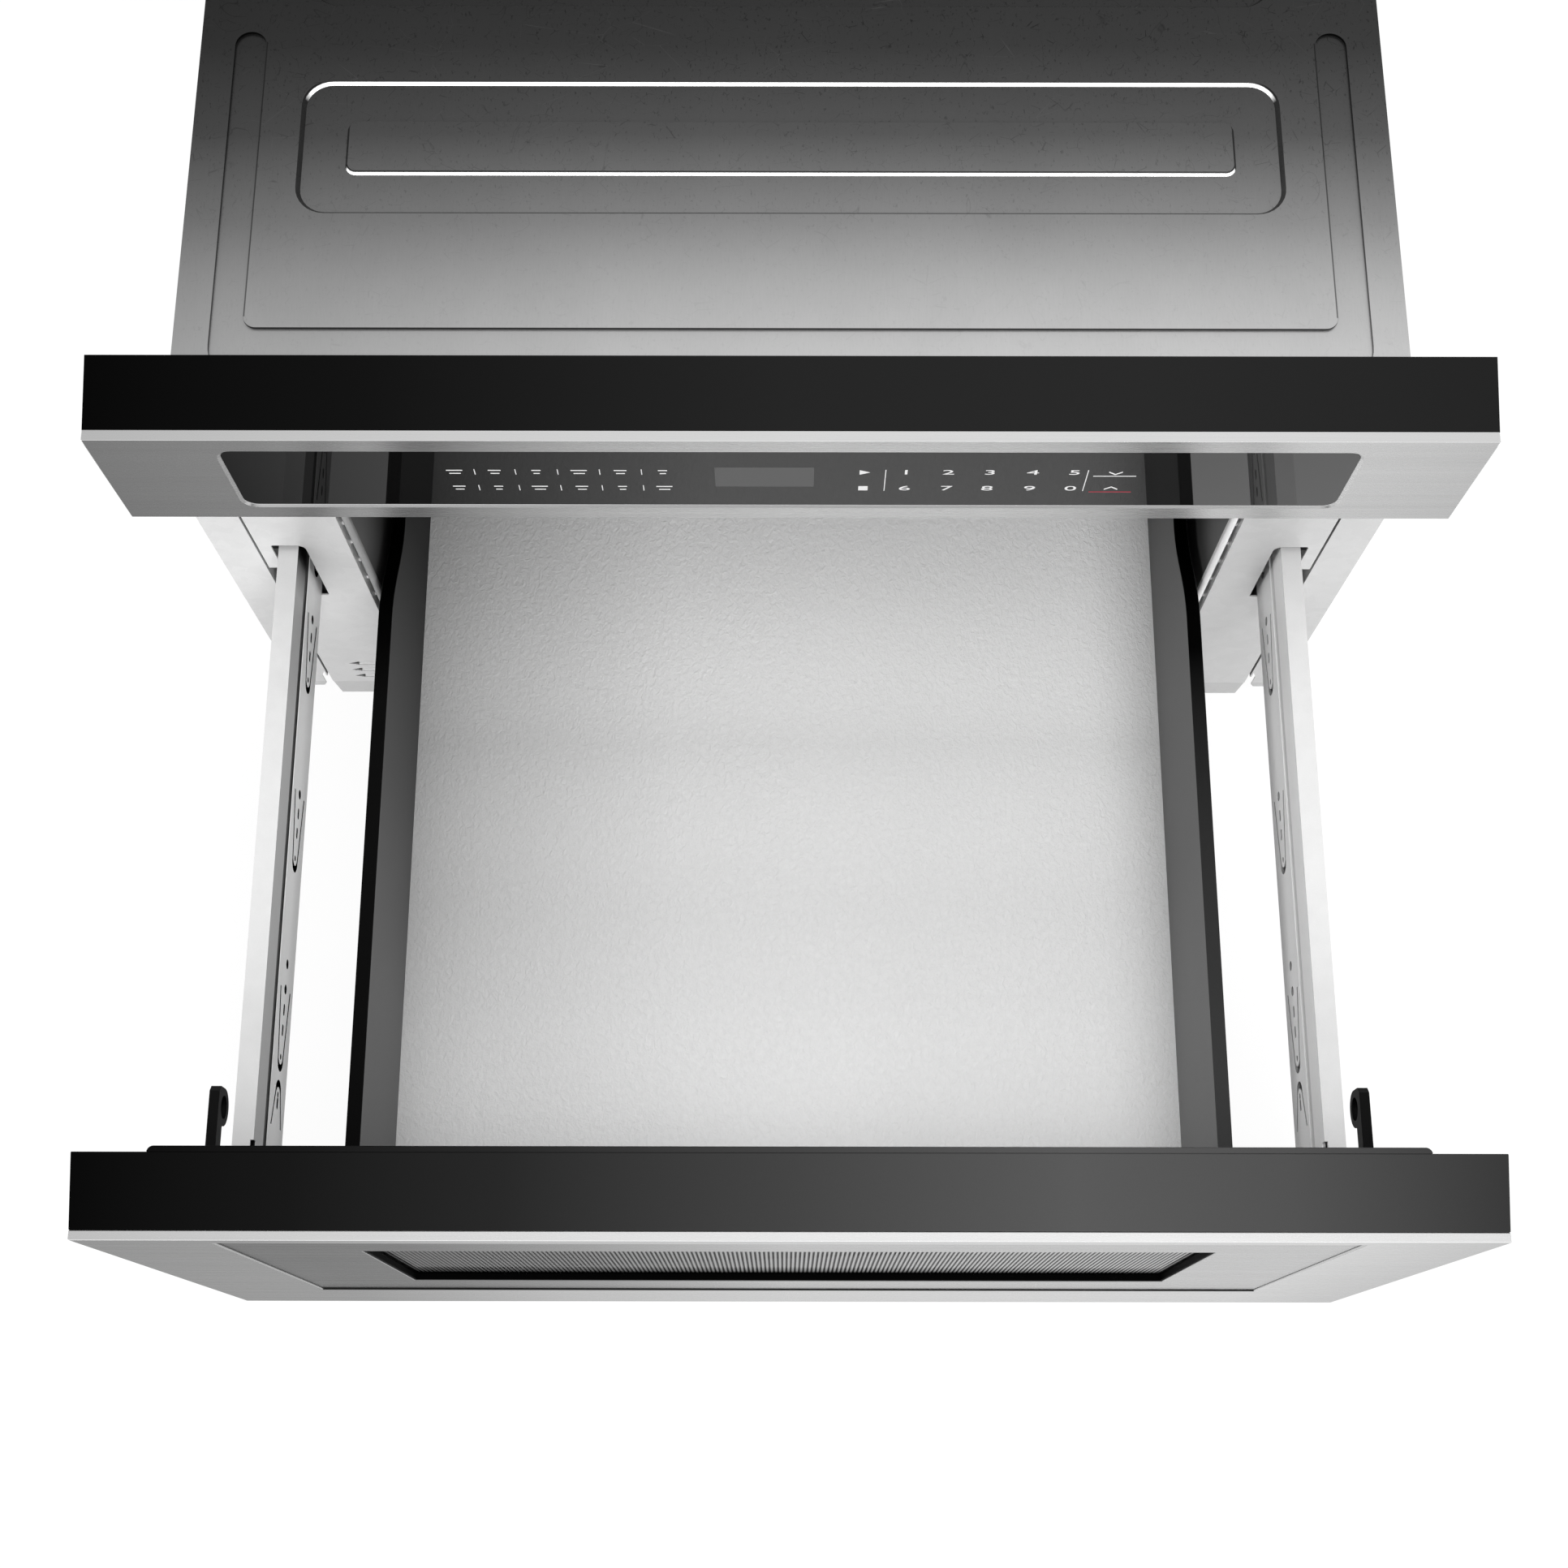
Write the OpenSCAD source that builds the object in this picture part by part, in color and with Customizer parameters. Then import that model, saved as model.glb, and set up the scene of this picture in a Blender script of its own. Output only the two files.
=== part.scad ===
// Built-in microwave drawer, shown with its drawer fully open.
// X runs across the front, Y runs back into the cabinet and Z runs up.
// The origin is on the centre line, where the front plate's face meets the underside of the body.

/* [Front] */
// Width of the control panel and of the drawer front
front_w = 606.4; // [580:0.1:640]
// Depth of the control panel in front of the body
front_d = 40; // [36:0.5:50]
// Height of the control panel
control_h = 77.3; // [70:0.1:90]
// How far the control panel stands above the top cover
control_rise = 34; // [20:0.5:45]
// Gap between the control panel and the drawer front
door_gap = 11.3; // [6:0.1:16]
// Height of the drawer front
door_h = 320; // [300:1:325]
// Depth of the drawer front's black frame with its face plate
door_d = 36.9; // [33:0.1:37.4]
// How far the drawer front's back plate stands behind that frame
door_step = 2.6; // [1.5:0.1:2.6]
// Thickness of the control panel's stainless face
control_plate_t = 4.9; // [3:0.1:6]
// Thickness of the drawer front's stainless face
door_plate_t = 4.3; // [3:0.1:6]
// How much wider the black frames are at the back than at the front, per side
frame_flare = 1.8; // [0:0.1:3]
// Wall thickness of the black frames
frame_wall = 3; // [2:0.5:4]

/* [Body] */
// Width of the body
body_w = 558; // [546:1:575]
// Height of the body
body_h = 367; // [360:1:390]
// Room behind the basin for the fan and the works
rear_room = 135; // [130:1:200]
// Thickness of the sheet steel
sheet_t = 1; // [0.8:0.1:1.2]
// Reach of each mounting flange beyond the body's side
flange_reach = 20.5; // [18:0.5:22]
// How far the mounting flanges hang below the base
flange_drop = 5.7; // [2:0.1:7]
// How far the base plate's front lip hangs below the base
lip_drop = 17.7; // [8:0.1:20]

/* [Drawer] */
// Travel of the drawer from closed to fully open
travel = 326.7; // [280:0.1:330]
// Width of the basin over its side walls
basin_w = 438.4; // [425:0.1:440]
// Length of the basin from the drawer front's back to its rear face
basin_l = 420; // [410:1:424]
// Thickness of the basin's walls
basin_wall = 7.5; // [5:0.1:9]
// Thickness of the basin's floor
basin_floor_t = 3; // [2:0.5:5]
// Height of the basin floor's top above the body's underside
basin_floor_z = 64; // [60:0.5:68]
// Height of the basin's walls above its floor
basin_h = 99; // [80:1:120]
// How much lower the walls are at the rear
wall_drop = 21; // [10:1:30]

/* [Cavity] */
// Height inside the oven cavity
cavity_h = 200; // [190:1:204]
// Gap between the basin and the cavity liner on each side
liner_gap = 5.3; // [4:0.1:6]
// Width of the choke gap around the liner's mouth
choke_w = 3.6; // [3:0.1:5]
// Depth of the choke
choke_d = 18; // [12:1:24]

/* [Slides] */
// Width of each drawer rail
rail_w = 10.3; // [9:0.1:11]
// Height of each drawer rail
rail_h = 59.9; // [56:0.1:62]
// Distance from the centre line to each rail's inner face
rail_x = 255.8; // [253:0.1:257]
// Height of the rails' underside above the body's underside
rail_z = 138.6; // [134:0.1:141]
// Thickness of the rail's steel
rail_t = 1.6; // [1.2:0.1:2]
// Diameter of the balls that carry the rails
ball_d = 2.4; // [2:0.1:3]
// Running gap beside each ball
ball_gap = 0.3; // [0.2:0.05:0.4]

/* [Drive] */
// Module of the rack and its pinions
rack_module = 2; // [1.5:0.1:2.2]
// Teeth on each pinion
pinion_teeth = 14; // [12:1:15]
// Distance from the front plate's face back to the cross shaft
shaft_y = 60; // [50:1:90]

/* [Hidden] */

// Fineness of round surfaces, and the overrun of every cut past the face that it opens
$fn = 48;
cut = 1;
coarse_fn = 32;

// Planes that several pieces share
half_front = front_w / 2;
half_body = body_w / 2;
body_d = basin_l + rear_room;
control_top = body_h + control_rise;
control_bottom = control_top - control_h;
door_top = control_bottom - door_gap;
door_bottom = door_top - door_h;
door_face_y = -front_d - travel;
door_plate_back_y = door_face_y + door_plate_t;
door_frame_back_y = door_face_y + door_d;
door_back_y = door_frame_back_y + door_step;

// Solid between two limits on each axis
module block(x, y, z) {
    translate([x[0], y[0], z[0]])
        cube([x[1] - x[0], y[1] - y[0], z[1] - z[0]]);
}

// Outline in X and Z, made solid between two depths
module along_y(y0, y1) {
    translate([0, y1, 0])
        rotate([90, 0, 0])
            linear_extrude(y1 - y0)
                children();
}

// Outline in Y and Z, made solid between two places across the front
module along_x(x0, x1) {
    translate([x0, 0, 0])
        rotate([90, 0, 90])
            linear_extrude(x1 - x0)
                children();
}

// Outline in X and Y, made solid between two heights
module along_z(z0, z1) {
    translate([0, 0, z0])
        linear_extrude(z1 - z0)
            children();
}

// Rectangle between two corners
module span(low, high) {
    translate(low)
        square(high - low);
}

// Rectangle with round corners, centred
module rounded(w, h, r) {
    square([w - 2 * r, h], center = true);
    square([w, h - 2 * r], center = true);
    for (x = [-1, 1], y = [-1, 1])
        translate([x * (w / 2 - r), y * (h / 2 - r)])
            circle(r);
}

// Slot with round ends along its length, centred
module slot(l, w) {
    square([l - w, w], center = true);
    for (x = [-1, 1])
        translate([x * (l - w) / 2, 0])
            circle(d = w);
}

// The same shape on the left and on the right
module both_sides() {
    children();
    mirror([1, 0, 0])
        children();
}

// Sizes of the pressed panels and bead in the top cover
panel_w = 458;
panel_l = 72;
panel_r = 14;
panel_depth = 2.2;
panel_slope = 1.8;
panel_first_y = 93;
panel_pitch = 113;
panel_count = 3;
island_inset_x = 22;
island_inset_y = 21.6;
island_r = 5;
bead_side = 16.3;
bead_out_x = half_body - bead_side;
bead_w = 14.7;
bead_front_y = 5;
bead_bar_w = 28.7;
bead_back_y = 184;
bead_depth = 1.5;
bead_r = 20;
bead_inner_r = 6;

// Tapering block between two rounded outlines, for a pressed panel's sloping sides
module pressed(w, l, r, z_top, grow_top) {
    hull() {
        along_z(z_top, z_top + cut)
            rounded(w + 2 * grow_top, l + 2 * grow_top, r + grow_top, $fn = coarse_fn);
        along_z(z_top - panel_depth, z_top - panel_depth + sheet_t / 10)
            rounded(w, l, r, $fn = coarse_fn);
    }
}

module bead_outline(grow) {
    out = bead_out_x + grow;
    front = bead_front_y - grow;
    r = bead_r + grow;
    inner = bead_out_x - bead_w - grow;
    inner_y = bead_front_y + bead_bar_w + grow;
    difference() {
        union() {
            span([-out + r, front], [out - r, bead_back_y]);
            span([-out, front + r], [out, bead_back_y]);
            for (s = [-1, 1]) {
                translate([s * (out - r), front + r])
                    circle(r);
                translate([s * (out + inner) / 2, bead_back_y])
                    circle((out - inner) / 2);
            }
        }
        span([-inner + bead_inner_r, inner_y], [inner - bead_inner_r, body_d]);
        span([-inner, inner_y + bead_inner_r], [inner, body_d]);
        for (s = [-1, 1])
            translate([s * (inner - bead_inner_r), inner_y + bead_inner_r])
                circle(bead_inner_r);
    }
}

module top_cover() {
    under = body_h - sheet_t;
    color("silver")
        difference() {
            union() {
                block([-half_body, half_body], [0, body_d], [under, body_h]);
                along_z(under - bead_depth, body_h - sheet_t / 2)
                    bead_outline(sheet_t);
                for (i = [0:panel_count - 1])
                    translate([0, panel_first_y + panel_l / 2 + i * panel_pitch, 0])
                        along_z(under - panel_depth, body_h - sheet_t / 2)
                            rounded(panel_w, panel_l, panel_r);
            }
            along_z(body_h - bead_depth, body_h + cut)
                bead_outline(0);
            for (i = [0:panel_count - 1])
                translate([0, panel_first_y + panel_l / 2 + i * panel_pitch, 0])
                    difference() {
                        pressed(panel_w - 2 * panel_slope, panel_l - 2 * panel_slope,
                            panel_r - panel_slope, body_h, panel_slope);
                        pressed(panel_w - 2 * island_inset_x, panel_l - 2 * island_inset_y,
                            island_r, body_h, -panel_slope);
                    }
        }
}

// Sizes of the side panels' flanges, their screw holes and their lower corner relief
flange_hole_r = 2.4;
flange_hole_inset = 10.5;
flange_hole_low_z = 60;
flange_hole_rise = 240;
relief_low_z = 10.4;
relief_high_z = 20.5;
relief_w = 2.3;
relief_d = 6;
tab_mitre_w = 1.7;
tab_mitre_h = 3.4;
side_vent_l = 60;
side_vent_w = 5;
side_vent_pitch = 14;
side_vent_count = 7;
side_vent_back = 60;
side_vent_z = 190;

module side_panel() {
    outer = half_body + flange_reach;
    color("gainsboro")
        difference() {
            union() {
                block([half_body - sheet_t, half_body], [0, body_d], [sheet_t, body_h - sheet_t]);
                along_y(0, sheet_t)
                    polygon([
                        [half_body - sheet_t, body_h - sheet_t],
                        [outer, body_h - sheet_t],
                        [outer, -flange_drop],
                        [half_body + relief_w + tab_mitre_w, -flange_drop],
                        [half_body + relief_w, tab_mitre_h - flange_drop],
                        [half_body + relief_w, relief_low_z],
                        [half_body - sheet_t, relief_high_z]
                    ]);
            }
            block([half_body - sheet_t - cut, half_body + relief_w], [-cut, relief_d],
                [-cut, relief_low_z]);
            for (z = [flange_hole_low_z, flange_hole_low_z + flange_hole_rise])
                translate([half_body + flange_hole_inset, sheet_t + cut, z])
                    rotate([90, 0, 0])
                        cylinder(r = flange_hole_r, h = sheet_t + 2 * cut);
            for (i = [0:side_vent_count - 1])
                translate([0, body_d - side_vent_back - i * side_vent_pitch, side_vent_z])
                    along_x(half_body - sheet_t - cut, half_body + cut)
                        rotate(90)
                            slot(side_vent_l, side_vent_w);
        }
}

module left_side_panel() {
    mirror([1, 0, 0])
        side_panel();
}

module right_side_panel() {
    side_panel();
}

// Sizes of the rear panel's vents, fan and cord gland places
fan_x = 120;
fan_z = 190;
fan_r = 52;
vent_w = 4;
vent_pitch = 10;
vent_rows = 9;
left_vent_x = -150;
left_vent_z = 290;
left_vent_l = 70;
left_vent_rows = 5;
gland_x = -225;
gland_z = 70;
gland_r = 9;

module rear_panel() {
    edge = half_body - sheet_t;
    color("silver")
        along_y(body_d - sheet_t, body_d)
            difference() {
                span([-edge, sheet_t], [edge, body_h - sheet_t]);
                for (i = [0:vent_rows - 1]) {
                    rise = (i - (vent_rows - 1) / 2) * vent_pitch;
                    translate([fan_x, fan_z + rise])
                        slot(2 * sqrt(pow(fan_r, 2) - pow(rise, 2)), vent_w);
                }
                for (i = [0:left_vent_rows - 1])
                    translate([left_vent_x, left_vent_z - i * vent_pitch])
                        slot(left_vent_l, vent_w);
                translate([gland_x, gland_z])
                    circle(gland_r);
            }
}

// Sizes of the base plate's corners, and of the mitres at the ends of its lip
corner_inset = 2.6;
lip_mitre = 1.9;

module base_plate() {
    front_edge = half_body - corner_inset;
    color("gainsboro")
        union() {
            along_z(0, sheet_t)
                polygon([
                    [-half_body, body_d],
                    [-half_body, relief_d],
                    [-front_edge, relief_d],
                    [-front_edge, 0],
                    [front_edge, 0],
                    [front_edge, relief_d],
                    [half_body, relief_d],
                    [half_body, body_d]
                ]);
            along_y(0, sheet_t)
                polygon([
                    [-front_edge, sheet_t],
                    [lip_mitre - front_edge, -lip_drop],
                    [front_edge - lip_mitre, -lip_drop],
                    [front_edge, sheet_t]
                ]);
        }
}

// Cavity planes, worked out from the basin that runs in it
liner_in_x = basin_w / 2 + liner_gap;
liner_out_x = liner_in_x + sheet_t;
floor_gap = 11;
liner_floor_z = basin_floor_z - basin_floor_t - floor_gap;
liner_ceiling_z = liner_floor_z + cavity_h;
liner_end_gap = 10;
liner_back_y = basin_l + liner_end_gap;
mouth_x = liner_out_x + choke_w;
mouth_low_z = liner_floor_z - sheet_t - choke_w;
mouth_high_z = liner_ceiling_z + sheet_t + choke_w;

// Rail planes, and the fixed slide that holds each rail on its balls
rail_out_x = rail_x + rail_w;
rail_top_z = rail_z + rail_h;
race_gap = ball_d + 2 * ball_gap;
slide_t = 1.2;
slide_low_z = rail_z - race_gap - slide_t;
slide_high_z = rail_top_z + race_gap + slide_t;
slide_side_gap = 2;
slide_out_x = rail_out_x + slide_side_gap + slide_t;
slide_in_gap = 3.4;
slide_in_x = rail_x - slide_in_gap;

// Sizes of the front plate's other openings
plate_side_gap = 1.3;
slide_hole_side = 3.6;
slide_hole_rise = 3.2;
slide_hole_r = 1.5;
slide_hole_top_r = 5;
tab_slot_low_z = 157;
tab_slot_h = 16;
tab_slot_inset = 2.5;
tab_slot_x = slide_out_x + tab_slot_inset;
hook_x = 257.6;
hook_w = 4.6;
hook_z = 269.6;
hook_hole_gap = 4;
hook_head_h = 18;
louvre_x = 261.5;
louvre_l = 62;
louvre_w = 5.2;
louvre_taper = 5.8;
louvre_low_z = 10.4;
louvre_pitch = 10.25;
louvre_count = 3;
louvre_t = 0.8;

// Rack, pinion and shaft planes
pressure_angle = 20;
addendum_share = 0.8;
dedendum_share = 1;
pinion_r = rack_module * pinion_teeth / 2;
rack_addendum = rack_module * addendum_share;
rack_dedendum = rack_module * dedendum_share;
rack_pitch = PI * rack_module;
gear_backlash = 0.3;
shaft_z = 18.5;
rack_x = 190;
rack_w = 9;
rack_back = 7;
rack_line_z = shaft_z + pinion_r;
rack_root_z = rack_line_z + rack_dedendum;
rack_top_z = rack_root_z + rack_back;
rack_hole_gap = 1.5;

// Opening for a rail, with a larger radius at its upper inner corner
module slide_hole() {
    w = rail_w + 2 * slide_hole_side;
    h = rail_h + 2 * slide_hole_rise;
    r = slide_hole_top_r;
    translate([rail_x - slide_hole_side, rail_z - slide_hole_rise])
        difference() {
            translate([w / 2, h / 2])
                rounded(w, h, slide_hole_r);
            difference() {
                translate([-cut, h - r])
                    square(r + cut);
                translate([r, h - r])
                    circle(r);
            }
        }
}

// Outline of one louvre's opening from its pointed end
module louvre_outline() {
    polygon([
        [0, 0],
        [louvre_taper, louvre_w / 2],
        [louvre_l, louvre_w / 2],
        [louvre_l, -louvre_w / 2],
        [louvre_taper, -louvre_w / 2]
    ]);
}

module front_plate_outline() {
    edge = half_body - sheet_t - plate_side_gap;
    hook_low = hook_z - hook_head_h - hook_hole_gap;
    difference() {
        span([-edge, sheet_t], [edge, body_h - sheet_t]);
        span([-mouth_x, mouth_low_z], [mouth_x, mouth_high_z]);
        both_sides()
            slide_hole();
        for (s = [-1, 1]) {
            translate([s * (tab_slot_x + edge + cut) / 2, tab_slot_low_z + tab_slot_h / 2])
                square([edge + cut - tab_slot_x, tab_slot_h], center = true);
            translate([s * hook_x, (hook_low + hook_z + hook_hole_gap) / 2])
                square([hook_w + 2 * hook_hole_gap, hook_z + hook_hole_gap - hook_low], center = true);
            translate([s * rack_x, (rack_line_z - rack_addendum + rack_top_z) / 2])
                square([rack_w + 2 * rack_hole_gap,
                    rack_top_z - rack_line_z + rack_addendum + 2 * rack_hole_gap], center = true);
        }
        for (i = [0:louvre_count - 1])
            translate([-louvre_x, louvre_low_z + i * louvre_pitch])
                louvre_outline();
    }
}

// The blade of one louvre, which slopes back and up from the opening's lower edge
module louvre_blade() {
    r = louvre_w / 2;
    along_x(louvre_taper, louvre_l)
        polygon([
            [0, -r],
            [louvre_w, r],
            [louvre_w + louvre_t, r],
            [louvre_t, -r],
            [louvre_t, -r - louvre_t],
            [0, -r - louvre_t]
        ]);
}

module front_plate() {
    color("whitesmoke")
        union() {
            along_y(0, sheet_t)
                front_plate_outline();
            for (i = [0:louvre_count - 1])
                translate([-louvre_x, sheet_t / 2, louvre_low_z + i * louvre_pitch])
                    louvre_blade();
        }
}

// Sizes of the liner's rolled lip, its stirrer aperture and its lamp window
lip_r = 1.8;
lip_y = 1.7;
stirrer_y = 190;
aperture_r = 32;
lamp_y = 330;
lamp_z = 200;
lamp_hole_r = 2;
lamp_hole_pitch = 6;

module cavity_liner() {
    low = liner_floor_z;
    high = liner_ceiling_z;
    edge_x = liner_in_x + sheet_t / 2;
    edge_low = low - sheet_t / 2;
    edge_high = high + sheet_t / 2;
    color("dimgray")
        difference() {
            union() {
                block([-liner_out_x, liner_out_x], [lip_y, liner_back_y + sheet_t],
                    [low - sheet_t, high + sheet_t]);
                for (s = [-1, 1])
                    translate([s * edge_x, lip_y, edge_low])
                        cylinder(r = lip_r, h = edge_high - edge_low);
                for (z = [edge_low, edge_high])
                    translate([-edge_x, lip_y, z])
                        rotate([0, 90, 0])
                            cylinder(r = lip_r, h = 2 * edge_x);
                for (s = [-1, 1], z = [edge_low, edge_high])
                    translate([s * edge_x, lip_y, z])
                        sphere(r = lip_r);
            }
            block([-liner_in_x, liner_in_x], [lip_y + lip_r, liner_back_y], [low, high]);
            block([lip_r - edge_x, edge_x - lip_r], [-cut, liner_back_y],
                [edge_low + lip_r, edge_high - lip_r]);
            translate([0, stirrer_y, high - cut])
                cylinder(r = aperture_r, h = sheet_t + 2 * cut);
            for (i = [-1:1], k = [-1:1])
                translate([-liner_out_x - cut, lamp_y + i * lamp_hole_pitch,
                    lamp_z + k * lamp_hole_pitch])
                    rotate([0, 90, 0])
                        cylinder(r = lamp_hole_r, h = sheet_t + 2 * cut);
        }
}

// Sizes of the choke's comb
comb_y = 4.2;
comb_t = 1;
comb_rib = 2;
comb_pitch = 23.2;
comb_window = comb_pitch - comb_rib;

module comb_windows(length) {
    count = floor((length - comb_rib) / comb_pitch);
    start = -(count * comb_pitch - comb_rib) / 2;
    for (i = [0:count - 1])
        translate([start + i * comb_pitch, 0])
            children();
}

module choke_frame() {
    out = mouth_x + sheet_t;
    low = mouth_low_z - sheet_t;
    high = mouth_high_z + sheet_t;
    ring = liner_out_x;
    mid_z = (mouth_low_z + mouth_high_z) / 2;
    color("lightgray")
        union() {
            along_y(sheet_t, choke_d)
                difference() {
                    span([-out, low], [out, high]);
                    span([-mouth_x, mouth_low_z], [mouth_x, mouth_high_z]);
                }
            along_y(choke_d, choke_d + sheet_t)
                difference() {
                    span([-out, low], [out, high]);
                    span([-ring, liner_floor_z - sheet_t], [ring, liner_ceiling_z + sheet_t]);
                }
            along_y(comb_y, comb_y + comb_t)
                difference() {
                    span([-mouth_x - sheet_t / 2, mouth_low_z - sheet_t / 2],
                        [mouth_x + sheet_t / 2, mouth_high_z + sheet_t / 2]);
                    span([-ring, liner_floor_z - sheet_t], [ring, liner_ceiling_z + sheet_t]);
                    comb_windows(2 * liner_out_x) {
                        span([0, mouth_low_z], [comb_window, liner_floor_z]);
                        span([0, liner_ceiling_z], [comb_window, mouth_high_z]);
                    }
                    for (s = [-1, 1])
                        translate([0, mid_z])
                            rotate(90)
                                comb_windows(mouth_high_z - mouth_low_z - 2 * choke_w)
                                    translate([0, -s * (ring + mouth_x) / 2 - mouth_x + ring])
                                        span([0, choke_w / 2], [comb_window, choke_w * 3 / 2]);
                }
        }
}

// Black frame that widens towards the back, between two depths
module flared_frame(w, low_z, high_z, y0, y1, flare_low) {
    half = w / 2;
    intersection() {
        along_x(-half - frame_flare, half + frame_flare)
            polygon([
                [y0, low_z],
                [y0, high_z],
                [y1, high_z + frame_flare],
                [y1, low_z - flare_low]
            ]);
        along_z(low_z - frame_flare - cut, high_z + frame_flare + cut)
            polygon([
                [-half, y0],
                [half, y0],
                [half + frame_flare, y1],
                [-half - frame_flare, y1]
            ]);
    }
}

// Sizes of the control panel's glass, display and board
glass_w = 495;
glass_h = 53.2;
glass_r = 6;
glass_rise = 11.9;
glass_bevel = 1.6;
glass_recess = 0.9;
glass_t = 3;
glass_ledge = 3;
display_w = 43.8;
display_h = 19.1;
display_x = -11.5;
display_drop = 15.2;
display_t = 0.8;
board_w = 330;
board_h = 44;
board_t = 1.6;
board_gap = 12;
post_r = 3;
post_inset = 12;
glass_mid_z = control_top - glass_rise - glass_h / 2;
control_plate_y = -front_d + control_plate_t;
board_y = control_plate_y + board_gap;

module control_frame() {
    mid_z = (control_top + control_bottom) / 2;
    color("black")
        difference() {
            flared_frame(front_w, control_bottom, control_top, control_plate_y, 0, 0);
            difference() {
                block([frame_wall - half_front, half_front - frame_wall],
                    [control_plate_y - cut, -frame_wall],
                    [control_bottom + frame_wall, control_top - frame_wall]);
                for (x = [-1, 1], z = [-1, 1])
                    translate([x * (board_w / 2 - post_inset), board_y + board_t,
                        mid_z + z * (board_h / 2 - post_r * 2)])
                        rotate([-90, 0, 0])
                            cylinder(r = post_r, h = front_d);
            }
        }
}

module control_face() {
    color("lightgray")
        difference() {
            block([-half_front, half_front], [-front_d, control_plate_y], [control_bottom, control_top]);
            translate([0, 0, glass_mid_z]) {
                hull() {
                    along_y(-front_d - cut, -front_d)
                        rounded(glass_w + 2 * glass_bevel, glass_h + 2 * glass_bevel,
                            glass_r + glass_bevel, $fn = coarse_fn);
                    along_y(-front_d + glass_recess, -front_d + glass_recess + sheet_t / 10)
                        rounded(glass_w, glass_h, glass_r, $fn = coarse_fn);
                }
                along_y(-front_d, control_plate_y + cut)
                    rounded(glass_w, glass_h, glass_r);
            }
        }
}

module control_glass() {
    front = -front_d + glass_recess;
    color("#1c1c1e")
        difference() {
            union() {
                translate([0, 0, glass_mid_z])
                    along_y(front, control_plate_y)
                        rounded(glass_w, glass_h, glass_r);
                translate([0, 0, glass_mid_z])
                    along_y(control_plate_y, control_plate_y + glass_t)
                        rounded(glass_w + 2 * glass_ledge, glass_h + 2 * glass_ledge,
                            glass_r + glass_ledge);
            }
            along_y(front - cut, front + display_t)
                span([display_x - display_w / 2, control_top - glass_rise - display_drop - display_h],
                    [display_x + display_w / 2, control_top - glass_rise - display_drop]);
        }
}

module display_window() {
    front = -front_d + glass_recess;
    color("dimgray")
        along_y(front, front + display_t)
            span([display_x - display_w / 2, control_top - glass_rise - display_drop - display_h],
                [display_x + display_w / 2, control_top - glass_rise - display_drop]);
}

// Chips and connectors on the control board
chip_w = 24;
chip_h = 14;
chip_t = 4;
chip_pitch = 62;
relay_w = 18;
relay_h = 16;
relay_t = 14;

module control_board() {
    mid_z = (control_top + control_bottom) / 2;
    back = board_y + board_t;
    color("darkgreen")
        union() {
            block([-board_w / 2, board_w / 2], [board_y, back],
                [mid_z - board_h / 2, mid_z + board_h / 2]);
            for (i = [-1:1])
                block([i * chip_pitch - chip_w / 2, i * chip_pitch + chip_w / 2],
                    [back - board_t / 2, back + chip_t], [mid_z - chip_h / 2, mid_z + chip_h / 2]);
            for (s = [-1, 1])
                block([s * chip_pitch * 3 / 2 - relay_w / 2, s * chip_pitch * 3 / 2 + relay_w / 2],
                    [back - board_t / 2, back + relay_t], [mid_z - relay_h / 2, mid_z + relay_h / 2]);
        }
}

// Lengths of the slides, and their brackets on the side panels
slide_front_y = 12;
slide_l = 520;
slide_lip = 5;
bracket_l = 22;
bracket_h = 12;
bracket_back_y = 440;
bracket_mid_y = 220;

module fixed_slide() {
    back_y = slide_front_y + slide_l;
    mid_z = tab_slot_low_z + tab_slot_h / 2;
    color("lightsteelblue")
        union() {
            along_y(slide_front_y, back_y)
                difference() {
                    span([slide_in_x, slide_low_z], [slide_out_x, slide_high_z]);
                    span([slide_in_x - cut, slide_low_z + slide_t],
                        [slide_out_x - slide_t, slide_high_z - slide_t]);
                }
            for (z = [slide_low_z, slide_high_z - slide_lip])
                block([slide_in_x, slide_in_x + slide_t], [slide_front_y, back_y], [z, z + slide_lip]);
            for (y = [slide_front_y, bracket_mid_y, bracket_back_y])
                block([slide_out_x - slide_t / 2, half_body - sheet_t], [y, y + bracket_l],
                    [mid_z - bracket_h / 2, mid_z + bracket_h / 2]);
        }
}

module left_fixed_slide() {
    mirror([1, 0, 0])
        fixed_slide();
}

module right_fixed_slide() {
    fixed_slide();
}

// Sizes of the ball cages, two strips of balls joined by a web outside the rail
cage_front_y = 22;
cage_l = 140;
cage_t = 0.8;
cage_web_t = 0.4;
ball_count = 8;

module ball_cage() {
    low = rail_z - race_gap / 2;
    high = rail_top_z + race_gap / 2;
    mid_x = rail_x + rail_w / 2;
    web_x = rail_out_x + (slide_side_gap - cage_web_t) / 2;
    pitch = cage_l / ball_count;
    color("slategray")
        union() {
            for (z = [low, high]) {
                block([rail_x, web_x + cage_web_t], [cage_front_y, cage_front_y + cage_l],
                    [z - cage_t / 2, z + cage_t / 2]);
                for (i = [0:ball_count - 1])
                    translate([mid_x, cage_front_y + (i + 1 / 2) * pitch, z])
                        sphere(d = ball_d);
            }
            block([web_x, web_x + cage_web_t], [cage_front_y, cage_front_y + cage_l],
                [low - cage_t / 2, high + cage_t / 2]);
        }
}

module left_ball_cage() {
    mirror([1, 0, 0])
        ball_cage();
}

module right_ball_cage() {
    ball_cage();
}

// Sizes of the latch switch housings behind the front plate
switch_wall = 3;
switch_l = 56;
switch_room_l = 44;
switch_room_gap = 3;
micro_w = 10;
micro_l = 20;
micro_h = 6;

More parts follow.
